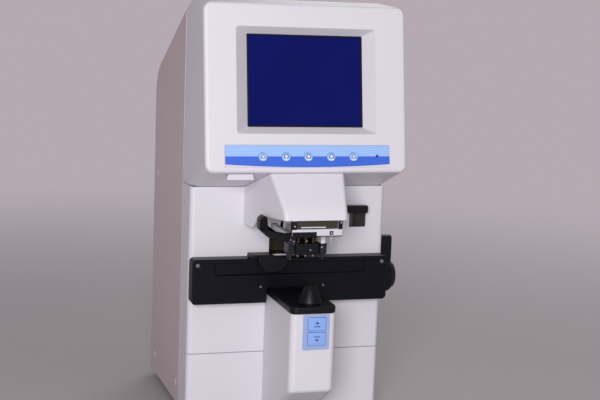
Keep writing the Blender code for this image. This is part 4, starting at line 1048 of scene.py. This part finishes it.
def pale_floor():
    """A plain floor that fades into the backdrop's tone far from the object."""
    grid = bmesh.new()
    bmesh.ops.create_grid(grid, x_segments=1, y_segments=1, size=FLOOR_HALF)
    pale = finish("pale_floor", (0.46, 0.425, 0.44), 0.75, tint=0.02, patch=2.0, relief=0.0)
    floor = painted(make(grid), pale)
    floor.name = "floor"
    nodes, links = pale.node_tree.nodes, pale.node_tree.links
    place = nodes.new("ShaderNodeTexCoord")
    away = nodes.new("ShaderNodeVectorMath")
    away.operation = "LENGTH"
    fade = shader_node(nodes, "ShaderNodeMapRange", From_Min=FADE_FROM, From_Max=FADE_TO)
    fade.interpolation_type = "SMOOTHSTEP"
    glow = shader_node(nodes, "ShaderNodeEmission", Color=BACKDROP)
    blend = nodes.new("ShaderNodeMixShader")
    links.new(place.outputs["Object"], away.inputs[0])
    links.new(away.outputs["Value"], fade.inputs["Value"])
    links.new(fade.outputs["Result"], blend.inputs["Fac"])
    links.new(nodes["Principled BSDF"].outputs["BSDF"], blend.inputs[1])
    links.new(glow.outputs["Emission"], blend.inputs[2])
    links.new(blend.outputs["Shader"], nodes["Material Output"].inputs["Surface"])


def world_light():
    """Soft light from all around, and the backdrop's tone where nothing else is seen."""
    world = bpy.data.worlds.new("studio")
    bpy.context.scene.world = world
    world.use_nodes = True
    nodes, links = world.node_tree.nodes, world.node_tree.links
    background = set_inputs(nodes["Background"], Color=SKY, Strength=SKY_STRENGTH)
    seen = shader_node(nodes, "ShaderNodeBackground", Color=BACKDROP)
    ray = nodes.new("ShaderNodeLightPath")
    either = nodes.new("ShaderNodeMixShader")
    links.new(ray.outputs["Is Camera Ray"], either.inputs["Fac"])
    links.new(background.outputs["Background"], either.inputs[1])
    links.new(seen.outputs["Background"], either.inputs[2])
    links.new(either.outputs["Shader"], nodes["World Output"].inputs["Surface"])


def lamps():
    for name, place, size, power in LAMPS:
        lamp = bpy.data.lights.new(name, "AREA")
        lamp.size, lamp.energy = size, power
        holder = bpy.data.objects.new(name, lamp)
        bpy.context.scene.collection.objects.link(holder)
        holder.location = Vector(place)
        holder.rotation_mode = "QUATERNION"
        holder.rotation_quaternion = (AIM - Vector(place)).to_track_quat("-Z", "Y")
        holder.visible_camera = False


def camera():
    lens_data = bpy.data.cameras.new("camera")
    lens_data.lens, lens_data.sensor_width = FOCAL, FILM
    holder = bpy.data.objects.new("camera", lens_data)
    bpy.context.scene.collection.objects.link(holder)
    turn = Matrix((RIGHT, UP, -FORWARD)).transposed()
    holder.matrix_world = Matrix.Translation(EYE) @ turn.to_4x4()
    bpy.context.scene.camera = holder


bpy.context.scene.view_settings.view_transform = "Standard"
for build in (rear_cover, front_mouldings, head, label, upper_nose, lower_nose, table, pd_slider,
              table_lever, marking_unit, marking_bracket, lens_presser, inside, cover_fixings,
              pale_floor, world_light, lamps, camera):
    build()
